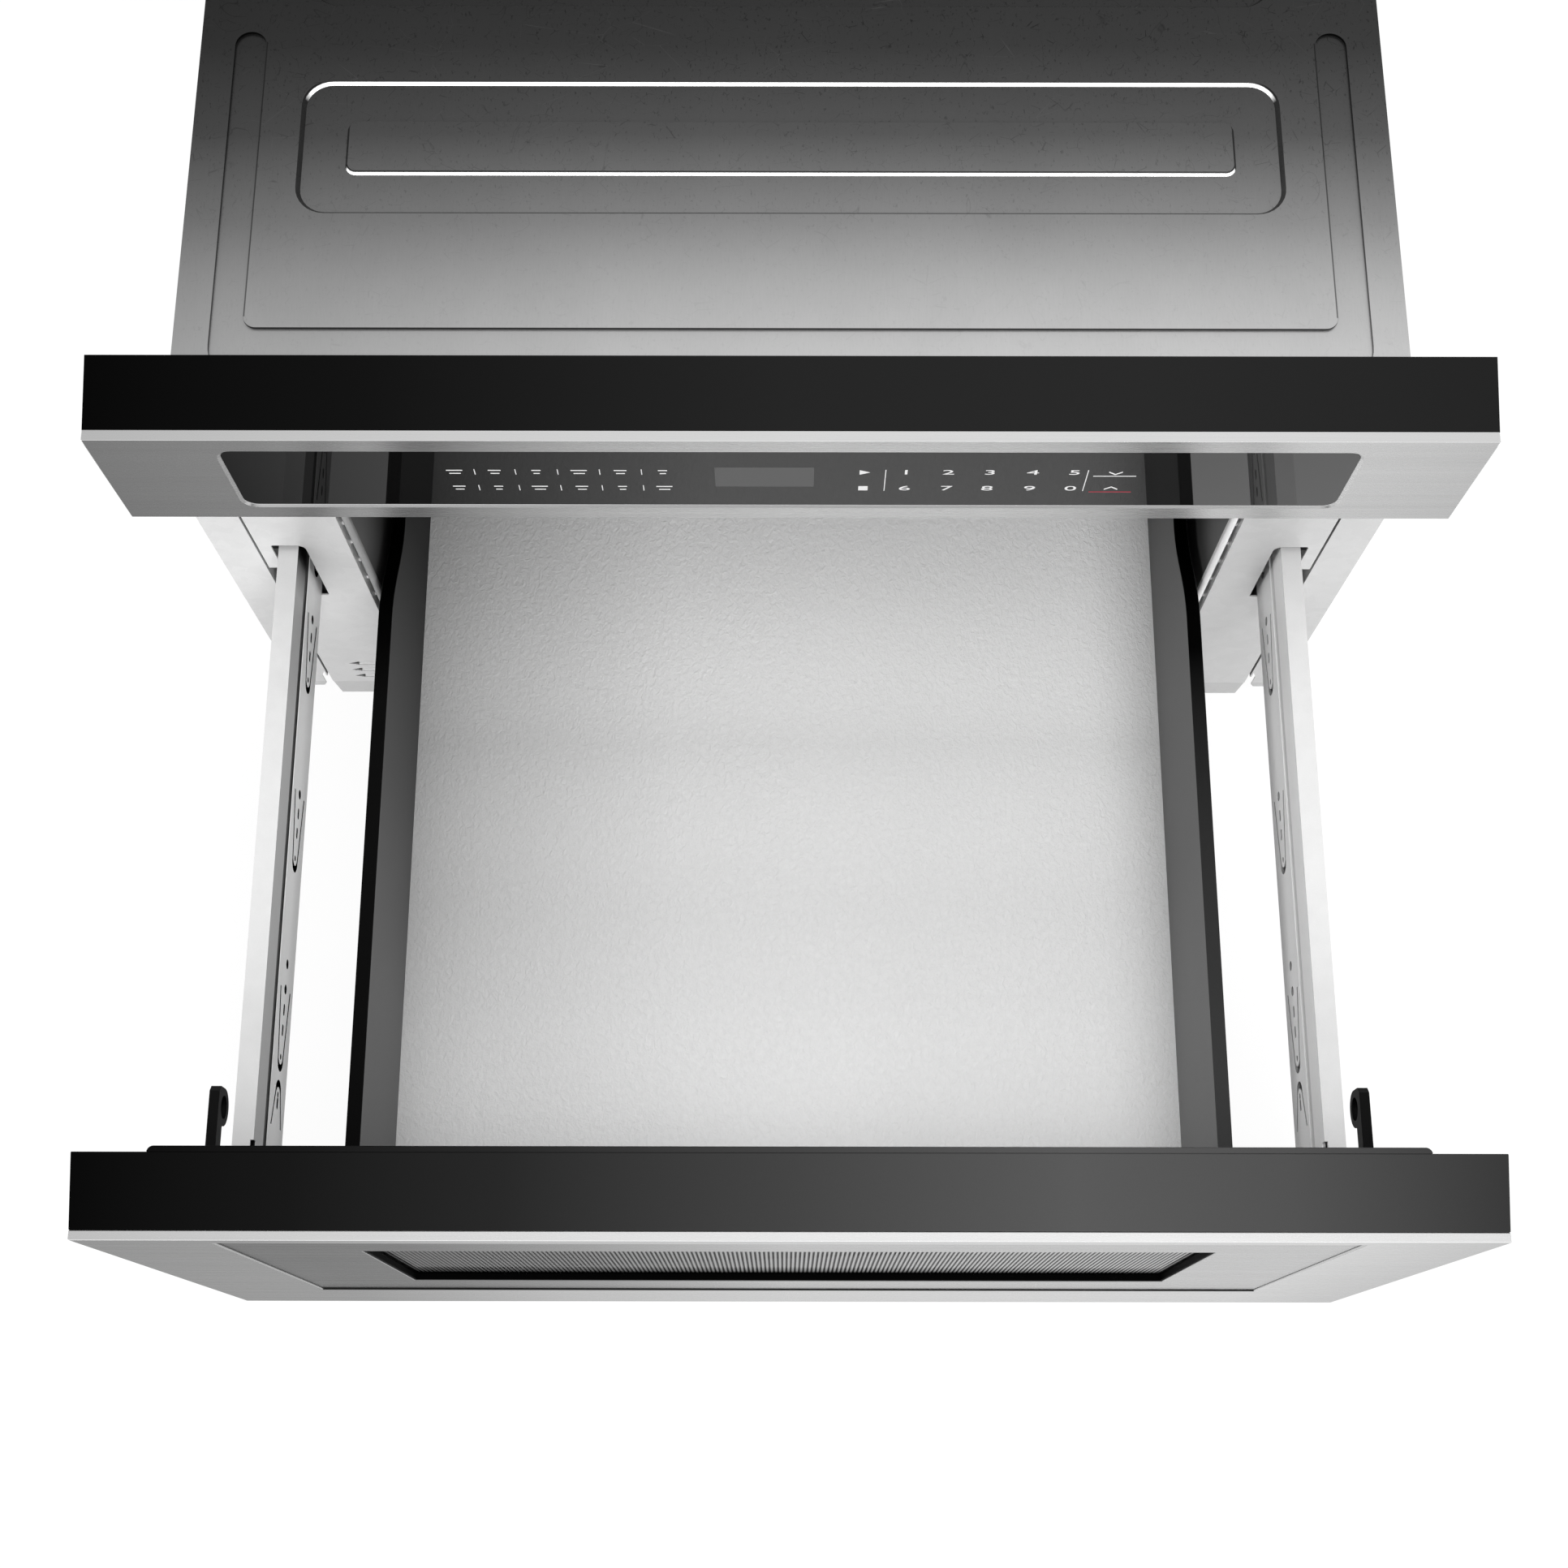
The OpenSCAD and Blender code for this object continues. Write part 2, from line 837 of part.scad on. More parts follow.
module latch_switch() {
    low = hook_z - hook_head_h - hook_hole_gap;
    high = hook_z + hook_hole_gap;
    in_x = hook_x - hook_w / 2 - switch_room_gap;
    out_x = hook_x + hook_w / 2 + switch_room_gap;
    color("ivory")
        union() {
            difference() {
                block([in_x - switch_wall, out_x + switch_wall], [sheet_t, sheet_t + switch_l],
                    [low - switch_wall, high + switch_wall]);
                block([in_x, out_x], [-cut, sheet_t + switch_room_l], [low, high]);
            }
            for (i = [0, 1])
                block([hook_x - micro_w / 2, hook_x + micro_w / 2],
                    [sheet_t + switch_wall + i * (micro_l + switch_wall),
                        sheet_t + switch_wall + i * (micro_l + switch_wall) + micro_l],
                    [low - switch_wall - micro_h, low - switch_wall / 2]);
        }
}

module left_latch_switch() {
    mirror([1, 0, 0])
        latch_switch();
}

module right_latch_switch() {
    latch_switch();
}

// Sizes of the waveguide on the cavity's ceiling
guide_w = 90;
guide_h = 30;
guide_t = 1.5;
guide_left_x = -50;
guide_right_x = 130;
guide_z = liner_ceiling_z + sheet_t;
stirrer_shaft_r = 3;
stirrer_hole_r = 5;
antenna_r = 8;

module waveguide() {
    y0 = stirrer_y - guide_w / 2;
    y1 = stirrer_y + guide_w / 2;
    color("silver")
        difference() {
            block([guide_left_x, guide_right_x], [y0, y1], [guide_z, guide_z + guide_h]);
            block([guide_left_x + guide_t, guide_right_x - guide_t], [y0 + guide_t, y1 - guide_t],
                [guide_z + guide_t, guide_z + guide_h - guide_t]);
            translate([0, stirrer_y, guide_z - cut])
                cylinder(r = aperture_r, h = guide_t + 2 * cut);
            translate([0, stirrer_y, guide_z + guide_h - guide_t - cut])
                cylinder(r = stirrer_hole_r, h = guide_t + 2 * cut);
            translate([guide_right_x - guide_t - cut, stirrer_y, guide_z + guide_h / 2])
                rotate([0, 90, 0])
                    cylinder(r = antenna_r + guide_t, h = guide_t + 2 * cut);
        }
}

// Sizes of the magnetron: yoke, fins, magnets, filter box and antenna
tube_l = 74;
yoke_w = 80;
yoke_h = 62;
yoke_t = 2;
tube_r = 18;
magnet_r = 27;
magnet_t = 12;
fin_t = 0.8;
fin_count = 5;
filter_w = 62;
filter_h = 50;
filter_l = 26;
antenna_l = 26;
dome_r = 7;

module magnetron() {
    x0 = guide_right_x;
    mid_z = guide_z + guide_h / 2 + (yoke_h - guide_h) / 2;
    axis_z = guide_z + guide_h / 2;
    room = tube_l - 2 * yoke_t - 2 * magnet_t;
    color("lightslategray")
        union() {
            for (x = [x0, x0 + tube_l - yoke_t])
                block([x, x + yoke_t], [stirrer_y - yoke_w / 2, stirrer_y + yoke_w / 2],
                    [guide_z, guide_z + yoke_h]);
            for (y = [stirrer_y - yoke_w / 2, stirrer_y + yoke_w / 2 - yoke_t])
                block([x0, x0 + tube_l], [y, y + yoke_t], [guide_z, guide_z + yoke_h]);
            for (x = [x0 + yoke_t / 2, x0 + tube_l - yoke_t - magnet_t])
                translate([x, stirrer_y, mid_z])
                    rotate([0, 90, 0])
                        cylinder(r = magnet_r, h = magnet_t + yoke_t / 2);
            translate([x0 + yoke_t, stirrer_y, mid_z])
                rotate([0, 90, 0])
                    cylinder(r = tube_r, h = tube_l - 2 * yoke_t);
            for (i = [1:fin_count])
                block([x0 + yoke_t + magnet_t + i * room / (fin_count + 1),
                        x0 + yoke_t + magnet_t + i * room / (fin_count + 1) + fin_t],
                    [stirrer_y - yoke_w / 2, stirrer_y + yoke_w / 2],
                    [guide_z + yoke_t, guide_z + yoke_h - yoke_t]);
            block([x0 + tube_l, x0 + tube_l + filter_l],
                [stirrer_y - filter_w / 2, stirrer_y + filter_w / 2],
                [mid_z - filter_h / 2, mid_z + filter_h / 2]);
            translate([x0 - antenna_l + dome_r, stirrer_y, axis_z])
                rotate([0, 90, 0])
                    cylinder(r = dome_r, h = antenna_l);
            translate([x0 - antenna_l + dome_r, stirrer_y, axis_z])
                sphere(r = dome_r);
        }
}

// Sizes of the inverter supply: its board on posts, transformer and heat sink
inverter_x = -225;
inverter_w = 150;
inverter_y = 90;
inverter_l = 190;
inverter_z = liner_ceiling_z + sheet_t;
inverter_post = 10;
inverter_post_r = 4;
inverter_t = 1.6;
cap_r = 11;
cap_h = 34;
cap_pitch = 30;
coil_w = 62;
coil_h = 50;
core_t = 12;
sink_l = 78;
sink_w = 34;
sink_h = 42;
sink_base = 4;
sink_fins = 8;
sink_fin_t = 1.5;
inverter_top_z = inverter_z + inverter_post + inverter_t;

module inverter_board() {
    x1 = inverter_x + inverter_w;
    y1 = inverter_y + inverter_l;
    color("darkgreen")
        union() {
            block([inverter_x, x1], [inverter_y, y1], [inverter_z + inverter_post, inverter_top_z]);
            for (x = [inverter_x + cap_r, x1 - cap_r], y = [inverter_y + cap_r, y1 - cap_r])
                translate([x, y, inverter_z])
                    cylinder(r = inverter_post_r, h = inverter_post + inverter_t / 2);
            for (i = [0:2])
                translate([inverter_x + 2 * cap_r, inverter_y + 2 * cap_r + i * cap_pitch,
                    inverter_top_z - inverter_t / 2])
                    cylinder(r = cap_r, h = cap_h);
        }
}

module inverter_transformer() {
    x = inverter_x + inverter_w - coil_w - core_t;
    y = inverter_y + inverter_l / 2;
    z = inverter_top_z;
    color("saddlebrown")
        union() {
            translate([x + coil_w / 2, y - coil_w / 2, z + coil_h / 2])
                rotate([-90, 0, 0])
                    cylinder(d = coil_h, h = coil_w);
            for (s = [-1, 1])
                block([x, x + coil_w], [y + s * (coil_w + core_t) / 2 - core_t / 2,
                    y + s * (coil_w + core_t) / 2 + core_t / 2], [z, z + coil_h]);
            block([x + coil_w / 2 - core_t / 2, x + coil_w / 2 + core_t / 2],
                [y - coil_w / 2, y + coil_w / 2], [z, z + coil_h / 2]);
        }
}

module inverter_heat_sink() {
    x = inverter_x + cap_r * 2;
    y1 = inverter_y + inverter_l - cap_r;
    z = inverter_top_z;
    pitch = (sink_w - sink_fin_t) / (sink_fins - 1);
    color("silver")
        union() {
            block([x, x + sink_w], [y1 - sink_l, y1], [z, z + sink_base]);
            for (i = [0:sink_fins - 1])
                block([x + i * pitch, x + i * pitch + sink_fin_t], [y1 - sink_l, y1],
                    [z + sink_base / 2, z + sink_h]);
        }
}

// Sizes of the stirrer under the ceiling, its motor and its cover
blade_r = 78;
blade_w = 34;
blade_t = 0.8;
blade_drop = 9;
blade_count = 4;
blade_hub_r = 9;
blade_hub_h = 6;
motor_r = 24;
motor_h = 18;
motor_bore_r = 3.05;
motor_bore_l = 12;
cover_w = 210;
cover_t = 1.5;
cover_drop = 18;
cover_r = 12;
cover_rim = 2;

module stirrer_motor() {
    z = guide_z + guide_h;
    color("dimgray")
        difference() {
            union() {
                translate([0, stirrer_y, z])
                    cylinder(r = motor_r, h = motor_h);
                translate([0, stirrer_y, z])
                    linear_extrude(cover_t)
                        slot(2 * (motor_r + blade_hub_r), 2 * blade_hub_r);
            }
            translate([0, stirrer_y, z - cut])
                cylinder(r = motor_bore_r, h = motor_bore_l + cut);
        }
}

module stirrer_blade() {
    z = liner_ceiling_z - blade_drop;
    top = guide_z + guide_h + motor_bore_l - ball_gap;
    color("gainsboro")
        union() {
            for (i = [0:blade_count - 1])
                translate([0, stirrer_y, z])
                    rotate(i * 360 / blade_count)
                        linear_extrude(blade_t)
                            polygon([
                                [0, -blade_hub_r],
                                [blade_r, -blade_w / 2],
                                [blade_r, blade_w / 4],
                                [0, blade_hub_r]
                            ]);
            translate([0, stirrer_y, z])
                cylinder(r = blade_hub_r, h = blade_hub_h);
            translate([0, stirrer_y, z])
                cylinder(r = stirrer_shaft_r, h = top - z);
        }
}

module stirrer_cover() {
    z = liner_ceiling_z - cover_drop;
    color("wheat")
        translate([0, stirrer_y, 0])
            difference() {
                along_z(z, liner_ceiling_z)
                    rounded(cover_w, cover_w, cover_r);
                along_z(z + cover_t, liner_ceiling_z + cut)
                    rounded(cover_w - 2 * cover_rim, cover_w - 2 * cover_rim, cover_r - cover_rim);
            }
}

// Sizes of the cooling fan on the rear panel
fan_frame_w = 116;
fan_frame_l = 32;
fan_tip_gap = 1.5;
fan_wall = 2;
fan_hub_r = 19;
fan_motor_l = 26;
fan_blades = 7;
fan_blade_t = 1.6;
fan_blade_twist = 40;
fan_strut_w = 6;
fan_strut_t = 3;
fan_shaft_r = 2;
fan_bore_r = 2.05;
fan_back_y = body_d - sheet_t;
fan_wheel_back_y = fan_back_y - fan_strut_t - fan_tip_gap;
fan_wheel_l = 20;
fan_frame_r = 6;

module fan_housing() {
    front = fan_back_y - fan_frame_l;
    color("#303030")
        translate([fan_x, 0, fan_z])
            union() {
                difference() {
                    along_y(front, fan_back_y)
                        rounded(fan_frame_w, fan_frame_w, fan_frame_r);
                    along_y(front - cut, fan_back_y + cut)
                        circle(fan_r);
                }
                along_y(fan_back_y - fan_strut_t, fan_back_y)
                    for (a = [45, 135])
                        rotate(a)
                            square([2 * fan_r + fan_wall, fan_strut_w], center = true);
            }
}

module fan_motor() {
    back = fan_back_y - fan_frame_l;
    front = back - fan_motor_l;
    color("dimgray")
        translate([fan_x, 0, fan_z])
            difference() {
                union() {
                    along_y(front, back)
                        circle(fan_hub_r);
                    along_y(back - fan_strut_t, back)
                        for (a = [0, 90])
                            rotate(a)
                                square([fan_frame_w, fan_strut_w], center = true);
                }
                along_y(front + fan_strut_t, back + cut)
                    circle(fan_bore_r);
            }
}

module fan_wheel() {
    back = fan_wheel_back_y;
    front = back - fan_wheel_l;
    tip = fan_r - fan_tip_gap;
    shaft_front = fan_back_y - fan_frame_l - fan_motor_l + fan_strut_t + ball_gap;
    color("#404448")
        translate([fan_x, 0, fan_z])
            union() {
                along_y(front, back)
                    circle(fan_hub_r);
                along_y(shaft_front, front + cut)
                    circle(fan_shaft_r);
                for (i = [0:fan_blades - 1])
                    rotate([0, i * 360 / fan_blades, 0])
                        translate([0, (front + back) / 2, 0])
                            intersection() {
                                rotate([fan_blade_twist, 0, 0])
                                    block([fan_hub_r - fan_wall, tip - fan_wall],
                                        [-fan_wheel_l, fan_wheel_l],
                                        [-fan_blade_t / 2, fan_blade_t / 2]);
                                block([0, tip], [-fan_wheel_l / 2, fan_wheel_l / 2], [-tip, tip]);
                            }
            }
}

// Involute of a gear's base circle, as the angle at which it reaches a radius
function roll(base, r) = r <= base ? 0 : tan(acos(base / r)) * 180 / PI - acos(base / r);

// Half the angle that a tooth takes at a radius
function half_tooth(m, n, r) =
    90 / n - gear_backlash / 4 / (m * n / 2) * 180 / PI
    + roll(m * n / 2 * cos(pressure_angle), m * n / 2)
    - roll(m * n / 2 * cos(pressure_angle), r);

// Outline of a spur gear with stub teeth, with one tooth at the start angle
module gear_outline(m, n, start) {
    pitch_r = m * n / 2;
    root = pitch_r - m * dedendum_share;
    tip = pitch_r + m * addendum_share;
    base = pitch_r * cos(pressure_angle);
    low = max(root, base);
    radii = [root, low, (low + tip) / 2, tip];
    polygon([
        for (i = [0:n - 1], k = [0:2 * len(radii) - 1])
            let (
                rising = k < len(radii),
                r = radii[rising ? k : 2 * len(radii) - 1 - k],
                a = start + i * 360 / n + (rising ? -1 : 1) * half_tooth(m, n, r)
            )
            [r * cos(a), r * sin(a)]
    ]);
}

// Sizes of the cross shaft, its gear, its bearings and the motor that drives it
shaft_r = 4;
pinion_w = 10;
pinion_hub_r = 8;
pinion_hub_w = 6;
gear_module = 1;
gear_teeth = 30;
motor_teeth = 12;
gear_x = 96;
gear_w = 7;
motor_y = shaft_y + gear_module * (gear_teeth + motor_teeth) / 2;
bearing_inset = 24;
bearing_x = rack_x - bearing_inset;
bearing_w = 12;
bearing_l = 26;
bearing_gap = 0.05;
bearing_wall = 4;
motor_can_r = 13.5;
motor_can_l = 52;
gearbox_l = 24;
gearbox_h = 34;
gearbox_w = 34;
motor_gap = 2;
motor_shaft_r = 2.5;

module cross_shaft() {
    end_x = rack_x + pinion_w / 2 + pinion_hub_w;
    color("silver")
        translate([0, shaft_y, shaft_z])
            along_x(-end_x, end_x)
                circle(shaft_r);
}

module pinion() {
    color("goldenrod")
        translate([0, shaft_y, shaft_z])
            difference() {
                union() {
                    along_x(rack_x - pinion_w / 2, rack_x + pinion_w / 2)
                        gear_outline(rack_module, pinion_teeth, 90);
                    along_x(rack_x, rack_x + pinion_w / 2 + pinion_hub_w)
                        circle(pinion_hub_r);
                }
                along_x(rack_x - pinion_w, rack_x + pinion_w + pinion_hub_w)
                    circle(shaft_r);
            }
}

module left_pinion() {
    mirror([1, 0, 0])
        pinion();
}

module right_pinion() {
    pinion();
}

module shaft_gear() {
    color("goldenrod")
        translate([0, shaft_y, shaft_z])
            difference() {
                along_x(gear_x, gear_x + gear_w)
                    gear_outline(gear_module, gear_teeth, 0);
                along_x(gear_x - cut, gear_x + gear_w + cut)
                    circle(shaft_r);
            }
}

module motor_gear() {
    color("goldenrod")
        translate([0, motor_y, shaft_z])
            union() {
                along_x(gear_x, gear_x + gear_w)
                    gear_outline(gear_module, motor_teeth, 180 / motor_teeth);
                along_x(gear_x - motor_gap - gearbox_l / 2, gear_x + cut)
                    circle(motor_shaft_r);
            }
}

module drive_motor() {
    x1 = gear_x - motor_gap;
    x0 = x1 - gearbox_l;
    color("dimgray")
        difference() {
            union() {
                block([x0, x1], [motor_y - gearbox_w / 4, motor_y + gearbox_w * 3 / 4],
                    [sheet_t, sheet_t + gearbox_h]);
                translate([0, motor_y + gearbox_w / 4, shaft_z])
                    along_x(x0 - motor_can_l, x0)
                        circle(motor_can_r);
                block([x0 - motor_can_l, x0], [motor_y + gearbox_w / 4 - motor_can_r / 2,
                    motor_y + gearbox_w / 4 + motor_can_r / 2], [sheet_t, shaft_z - motor_can_r / 2]);
            }
            translate([0, motor_y, shaft_z])
                along_x(x1 - gearbox_l / 2 - motor_gap, x1 + cut)
                    circle(motor_shaft_r + bearing_gap);
        }
}

module bearing() {
    top = shaft_z + shaft_r + bearing_wall;
    difference() {
        union() {
            along_x(bearing_x, bearing_x + bearing_w)
                translate([shaft_y, shaft_z])
                    circle(shaft_r + bearing_wall);
            block([bearing_x, bearing_x + bearing_w],
                [shaft_y - shaft_r - bearing_wall, shaft_y + shaft_r + bearing_wall],
                [sheet_t, shaft_z]);
            block([bearing_x, bearing_x + bearing_w],
                [shaft_y - bearing_l, shaft_y + bearing_l], [sheet_t, sheet_t + bearing_wall]);
        }
        along_x(bearing_x - cut, bearing_x + bearing_w + cut)
            translate([shaft_y, shaft_z])
                circle(shaft_r + bearing_gap);
    }
}

module shaft_bearings() {
    color("ivory")
        both_sides()
            bearing();
}

// Rack: a bar from the drawer front's back, with teeth on its underside over the shaft
module rack() {
    low = rack_line_z - rack_addendum;
    first = ceil((-travel - pinion_r) / rack_pitch);
    last = floor(pinion_r / rack_pitch);
    tan_a = tan(pressure_angle);
    half = rack_pitch / 4 - gear_backlash / 4;
    front = door_back_y;
    back = shaft_y + (last + 2) * rack_pitch;
    color("white")
        along_x(rack_x - rack_w / 2, rack_x + rack_w / 2)
            polygon(concat(
                [[front, rack_top_z], [front, rack_root_z]],
                [
                    for (i = [first:last], k = [0:3])
                        let (
                            mid = shaft_y + (i + 1 / 2) * rack_pitch,
                            side = k < 2 ? -1 : 1,
                            tipped = k == 1 || k == 2,
                            reach = tipped ? half - rack_addendum * tan_a
                                : half + rack_dedendum * tan_a
                        )
                        [mid + side * reach, tipped ? low : rack_root_z]
                ],
                [[back, rack_root_z], [back, rack_top_z]]
            ));
}

module left_rack() {
    mirror([1, 0, 0])
        rack();
}

module right_rack() {
    rack();
}

// Sizes of the filter board, lamp, cut-outs, gland and screws
filter_x = -250;
filter_board_w = 60;
filter_board_l = 80;
filter_y = 455;
filter_post = 8;
filter_post_r = 3;
filter_t = 1.6;
choke_coil_r = 12;
choke_coil_h = 22;
lamp_base_w = 30;
lamp_base_h = 34;
lamp_base_t = 12;
bulb_r = 8;
bulb_l = 14;
cutout_r = 9;
cutout_h = 8;
cutout_tab_l = 30;
cutout_tab_w = 10;
cutout_tab_t = 1.5;
cutout_front_y = 60;
cutout_rear_y = 360;
gland_flange_r = 12;
gland_flange_t = 3;
gland_l = 14;
gland_bore_r = 4;
screw_r = 3.6;
screw_head_t = 2;
screw_inset = 10;

module filter_board() {
    z = sheet_t + filter_post;
    color("darkgreen")
        union() {
            block([filter_x, filter_x + filter_board_w], [filter_y, filter_y + filter_board_l],
                [z, z + filter_t]);
            for (x = [filter_post_r, filter_board_w - filter_post_r],
                y = [filter_post_r, filter_board_l - filter_post_r])
                translate([filter_x + x, filter_y + y, sheet_t])
                    cylinder(r = filter_post_r, h = filter_post + filter_t / 2);
            for (s = [1, 3])
                translate([filter_x + filter_board_w / 2, filter_y + s * filter_board_l / 4,
                    z + filter_t / 2])
                    cylinder(r = choke_coil_r, h = choke_coil_h);
        }
}

module cavity_lamp() {
    x = -liner_out_x;
    color("ivory")
        difference() {
            block([x - lamp_base_t, x], [lamp_y - lamp_base_w / 2, lamp_y + lamp_base_w / 2],
                [lamp_z - lamp_base_h / 2, lamp_z + lamp_base_h / 2]);
            translate([0, lamp_y, lamp_z])
                along_x(x - bulb_l / 2, x + cut)
                    circle(bulb_r + cutout_tab_t);
        }
    color("white")
        translate([0, lamp_y, lamp_z])
            along_x(x - bulb_l / 2, x - cutout_tab_t)
                circle(bulb_r);
}

module thermal_cutouts() {
    color("black")
        for (y = [cutout_front_y, cutout_rear_y])
            translate([0, y, liner_ceiling_z + sheet_t]) {
                cylinder(r = cutout_r, h = cutout_h);
                linear_extrude(cutout_tab_t)
                    slot(cutout_tab_l, cutout_tab_w);
            }
}

module cord_gland() {
    color("black")
        translate([gland_x, 0, gland_z])
            difference() {
                union() {
                    along_y(body_d, body_d + gland_flange_t)
                        circle(gland_flange_r);
                    along_y(body_d - gland_l, body_d + gland_flange_t / 2)
                        circle(gland_r - bearing_gap);
                }
                along_y(body_d - gland_l - cut, body_d + gland_flange_t + cut)
                    circle(gland_bore_r);
            }
}

// Screw heads along the rear panel's upper and lower edges
module cabinet_screws() {
    edge = half_body - sheet_t - screw_inset;
    color("silver")
        for (x = [-edge, 0, edge], z = [screw_inset + sheet_t, body_h - sheet_t - screw_inset])
            translate([x, 0, z])
                along_y(body_d, body_d + screw_head_t)
                    circle(screw_r);
}

// Sizes of the drawer front's inset panel, window and back plate
inset_w = 490;
inset_rise = 11.6;
inset_h = 233.5;
inset_gap = 0.4;
inset_recess = 0.9;
window_w = 378.6;
window_rise = 52.7;
window_h = 146.8;
window_rim_t = 0.8;
window_rim_recess = 0.3;
window_glass_t = 0.9;
window_screen_t = 0.7;
back_half_w = 273;
back_foot = 4;
back_r = 3;
inner_window_t = 3;
inner_window_inset = 10;
inset_high_z = door_top - inset_rise;
inset_low_z = inset_high_z - inset_h;
window_high_z = door_top - window_rise;
window_low_z = window_high_z - window_h;

module door_face() {
    color("lightgray")
        along_y(door_face_y, door_plate_back_y)
            difference() {
                span([-half_front, door_bottom], [half_front, door_top]);
                span([-inset_w / 2, inset_low_z], [inset_w / 2, inset_high_z]);
            }
}

module door_panel() {
    half = inset_w / 2 - inset_gap;
    low = inset_low_z + inset_gap;
    high = inset_high_z - inset_gap;
    color("darkgray")
        along_y(door_face_y + inset_recess, door_plate_back_y)
            difference() {
                span([-half, low], [half, high]);
                span([-window_w / 2, window_low_z], [window_w / 2, window_high_z]);
            }
}

module door_frame() {
    in_x = half_front - frame_wall;
    color("black")
        union() {
            difference() {
                flared_frame(front_w, door_bottom, door_top, door_plate_back_y, door_frame_back_y,
                    frame_flare);
                block([-in_x, in_x], [door_plate_back_y - cut, door_frame_back_y + cut],
                    [door_bottom + frame_wall, door_top - frame_wall]);
            }
            for (y = [door_plate_back_y, door_frame_back_y - frame_wall])
                along_y(y, y + frame_wall)
                    difference() {
                        span([-in_x - frame_wall / 2, door_bottom + frame_wall / 2],
                            [in_x + frame_wall / 2, door_top - frame_wall / 2]);
                        span([-window_w / 2, window_low_z], [window_w / 2, window_high_z]);
                    }
            along_y(door_face_y + inset_recess + window_rim_recess, door_plate_back_y + frame_wall / 2)
                difference() {
                    span([-window_w / 2, window_low_z], [window_w / 2, window_high_z]);
                    span([window_rim_t - window_w / 2, window_low_z + window_rim_t],
                        [window_w / 2 - window_rim_t, window_high_z - window_rim_t]);
                }
        }
}

module door_back() {
    high = door_top + frame_flare;
    low = door_bottom + back_foot;
    half = window_w / 2 - inner_window_inset;
    color("#181818")
        difference() {
            along_z(low, high)
                intersection() {
                    translate([0, door_back_y - back_r - door_step])
                        rounded(2 * back_half_w, 2 * (back_r + door_step), back_r);
                    span([-back_half_w, door_frame_back_y], [back_half_w, door_back_y]);
                }
            along_y(door_frame_back_y - cut, door_back_y + cut)
                span([-half, window_low_z + inner_window_inset],
                    [half, window_high_z - inner_window_inset]);
        }
}

// Outline of the panes that sit inside the frame's rim
module window_pane() {
    half = window_w / 2 - window_rim_t;
    span([-half, window_low_z + window_rim_t], [half, window_high_z - window_rim_t]);
}

module window_glass() {
    color([0.6, 0.65, 0.68, 0.4])
        along_y(door_plate_back_y, door_plate_back_y + window_glass_t)
            window_pane();
}

module window_screen() {
    front = door_plate_back_y + window_glass_t;
    color("gray")
        along_y(front, front + window_screen_t)
            window_pane();
}

module inner_window() {
    half = window_w / 2;
    color([0.6, 0.65, 0.68, 0.4])
        along_y(door_frame_back_y - inner_window_t, door_frame_back_y)
            span([-half, window_low_z], [half, window_high_z]);
}

// Basin planes, and the sweep of its walls' top edge
basin_back_y = door_back_y + basin_l;
basin_in_x = basin_w / 2 - basin_wall;
basin_low_z = basin_floor_z - basin_floor_t - basin_floor_t;
basin_top_z = basin_floor_z + basin_h;
sweep_start = 303;
sweep_l = 64;
sweep_steps = 14;

module basin_floor() {
    color("lightgray")
        block([-basin_in_x, basin_in_x], [door_back_y, basin_back_y - basin_wall],
            [basin_floor_z - basin_floor_t, basin_floor_z]);
}

module basin_wall() {
    y0 = door_back_y + sweep_start;
    color("#202020")
        along_x(basin_in_x, basin_w / 2)
            polygon(concat(
                [[basin_back_y, basin_low_z], [door_back_y, basin_low_z], [door_back_y, basin_top_z]],
                [
                    for (i = [0:sweep_steps])
                        [y0 + sweep_l * i / sweep_steps,
                            basin_top_z - wall_drop * (1 - cos(180 * i / sweep_steps)) / 2]
                ],
                [[basin_back_y, basin_top_z - wall_drop]]
            ));
}

module left_basin_wall() {
    mirror([1, 0, 0])
        basin_wall();
}

module right_basin_wall() {
    basin_wall();
}

module rear_basin_wall() {
    color("#202020")
        block([-basin_in_x, basin_in_x], [basin_back_y - basin_wall, basin_back_y],
            [basin_low_z, basin_top_z - wall_drop]);
}

// Sizes of the drawer rail: its web and groove, and the tongues lanced in the web
rail_l = 527;
web_h = 32.6;
groove_h = 8;
groove_d = 0.8;
lance_rise = 16.8;
lance_w = 23;
lance_cut = 2;
lance_tip_gap = 1.6;
lance_l = 42;
lance_places = [60.3, 164.1, 262.5, 329.8];
front_lance_y = 56.1;
front_lance_l = 23.6;
lance_hole_w = 3;
lance_tip_w = 12;
plain_hole_y = 115.4;
notch_l = 19.7;
notch_h = 5;

// One tongue cut from the web, with its row of holes, in Y and Z from its round end
module lance_cuts(length) {
    r = lance_tip_w / 2;
    for (s = [-1, 1])
        polygon([
            [r, s * r],
            [length, s * lance_w / 2],
            [length, s * (lance_w / 2 - lance_cut)],
            [r, s * (r - lance_cut)]
        ]);
    translate([r, 0])
        difference() {
            circle(r);
            translate([lance_tip_gap, 0])
                circle(r - lance_cut);
            span([0, -r], [r, r]);
        }
    translate([r + lance_hole_w / 2, 0])
        circle(d = lance_hole_w);
    translate([length / 2, 0])
        slot(2 * lance_hole_w, lance_hole_w);
    if (length > front_lance_l) {
        translate([length * 3 / 4, 0])
            slot(2 * lance_hole_w, lance_hole_w);
        translate([length, 0])
            circle(d = lance_hole_w + lance_cut);
    }
}

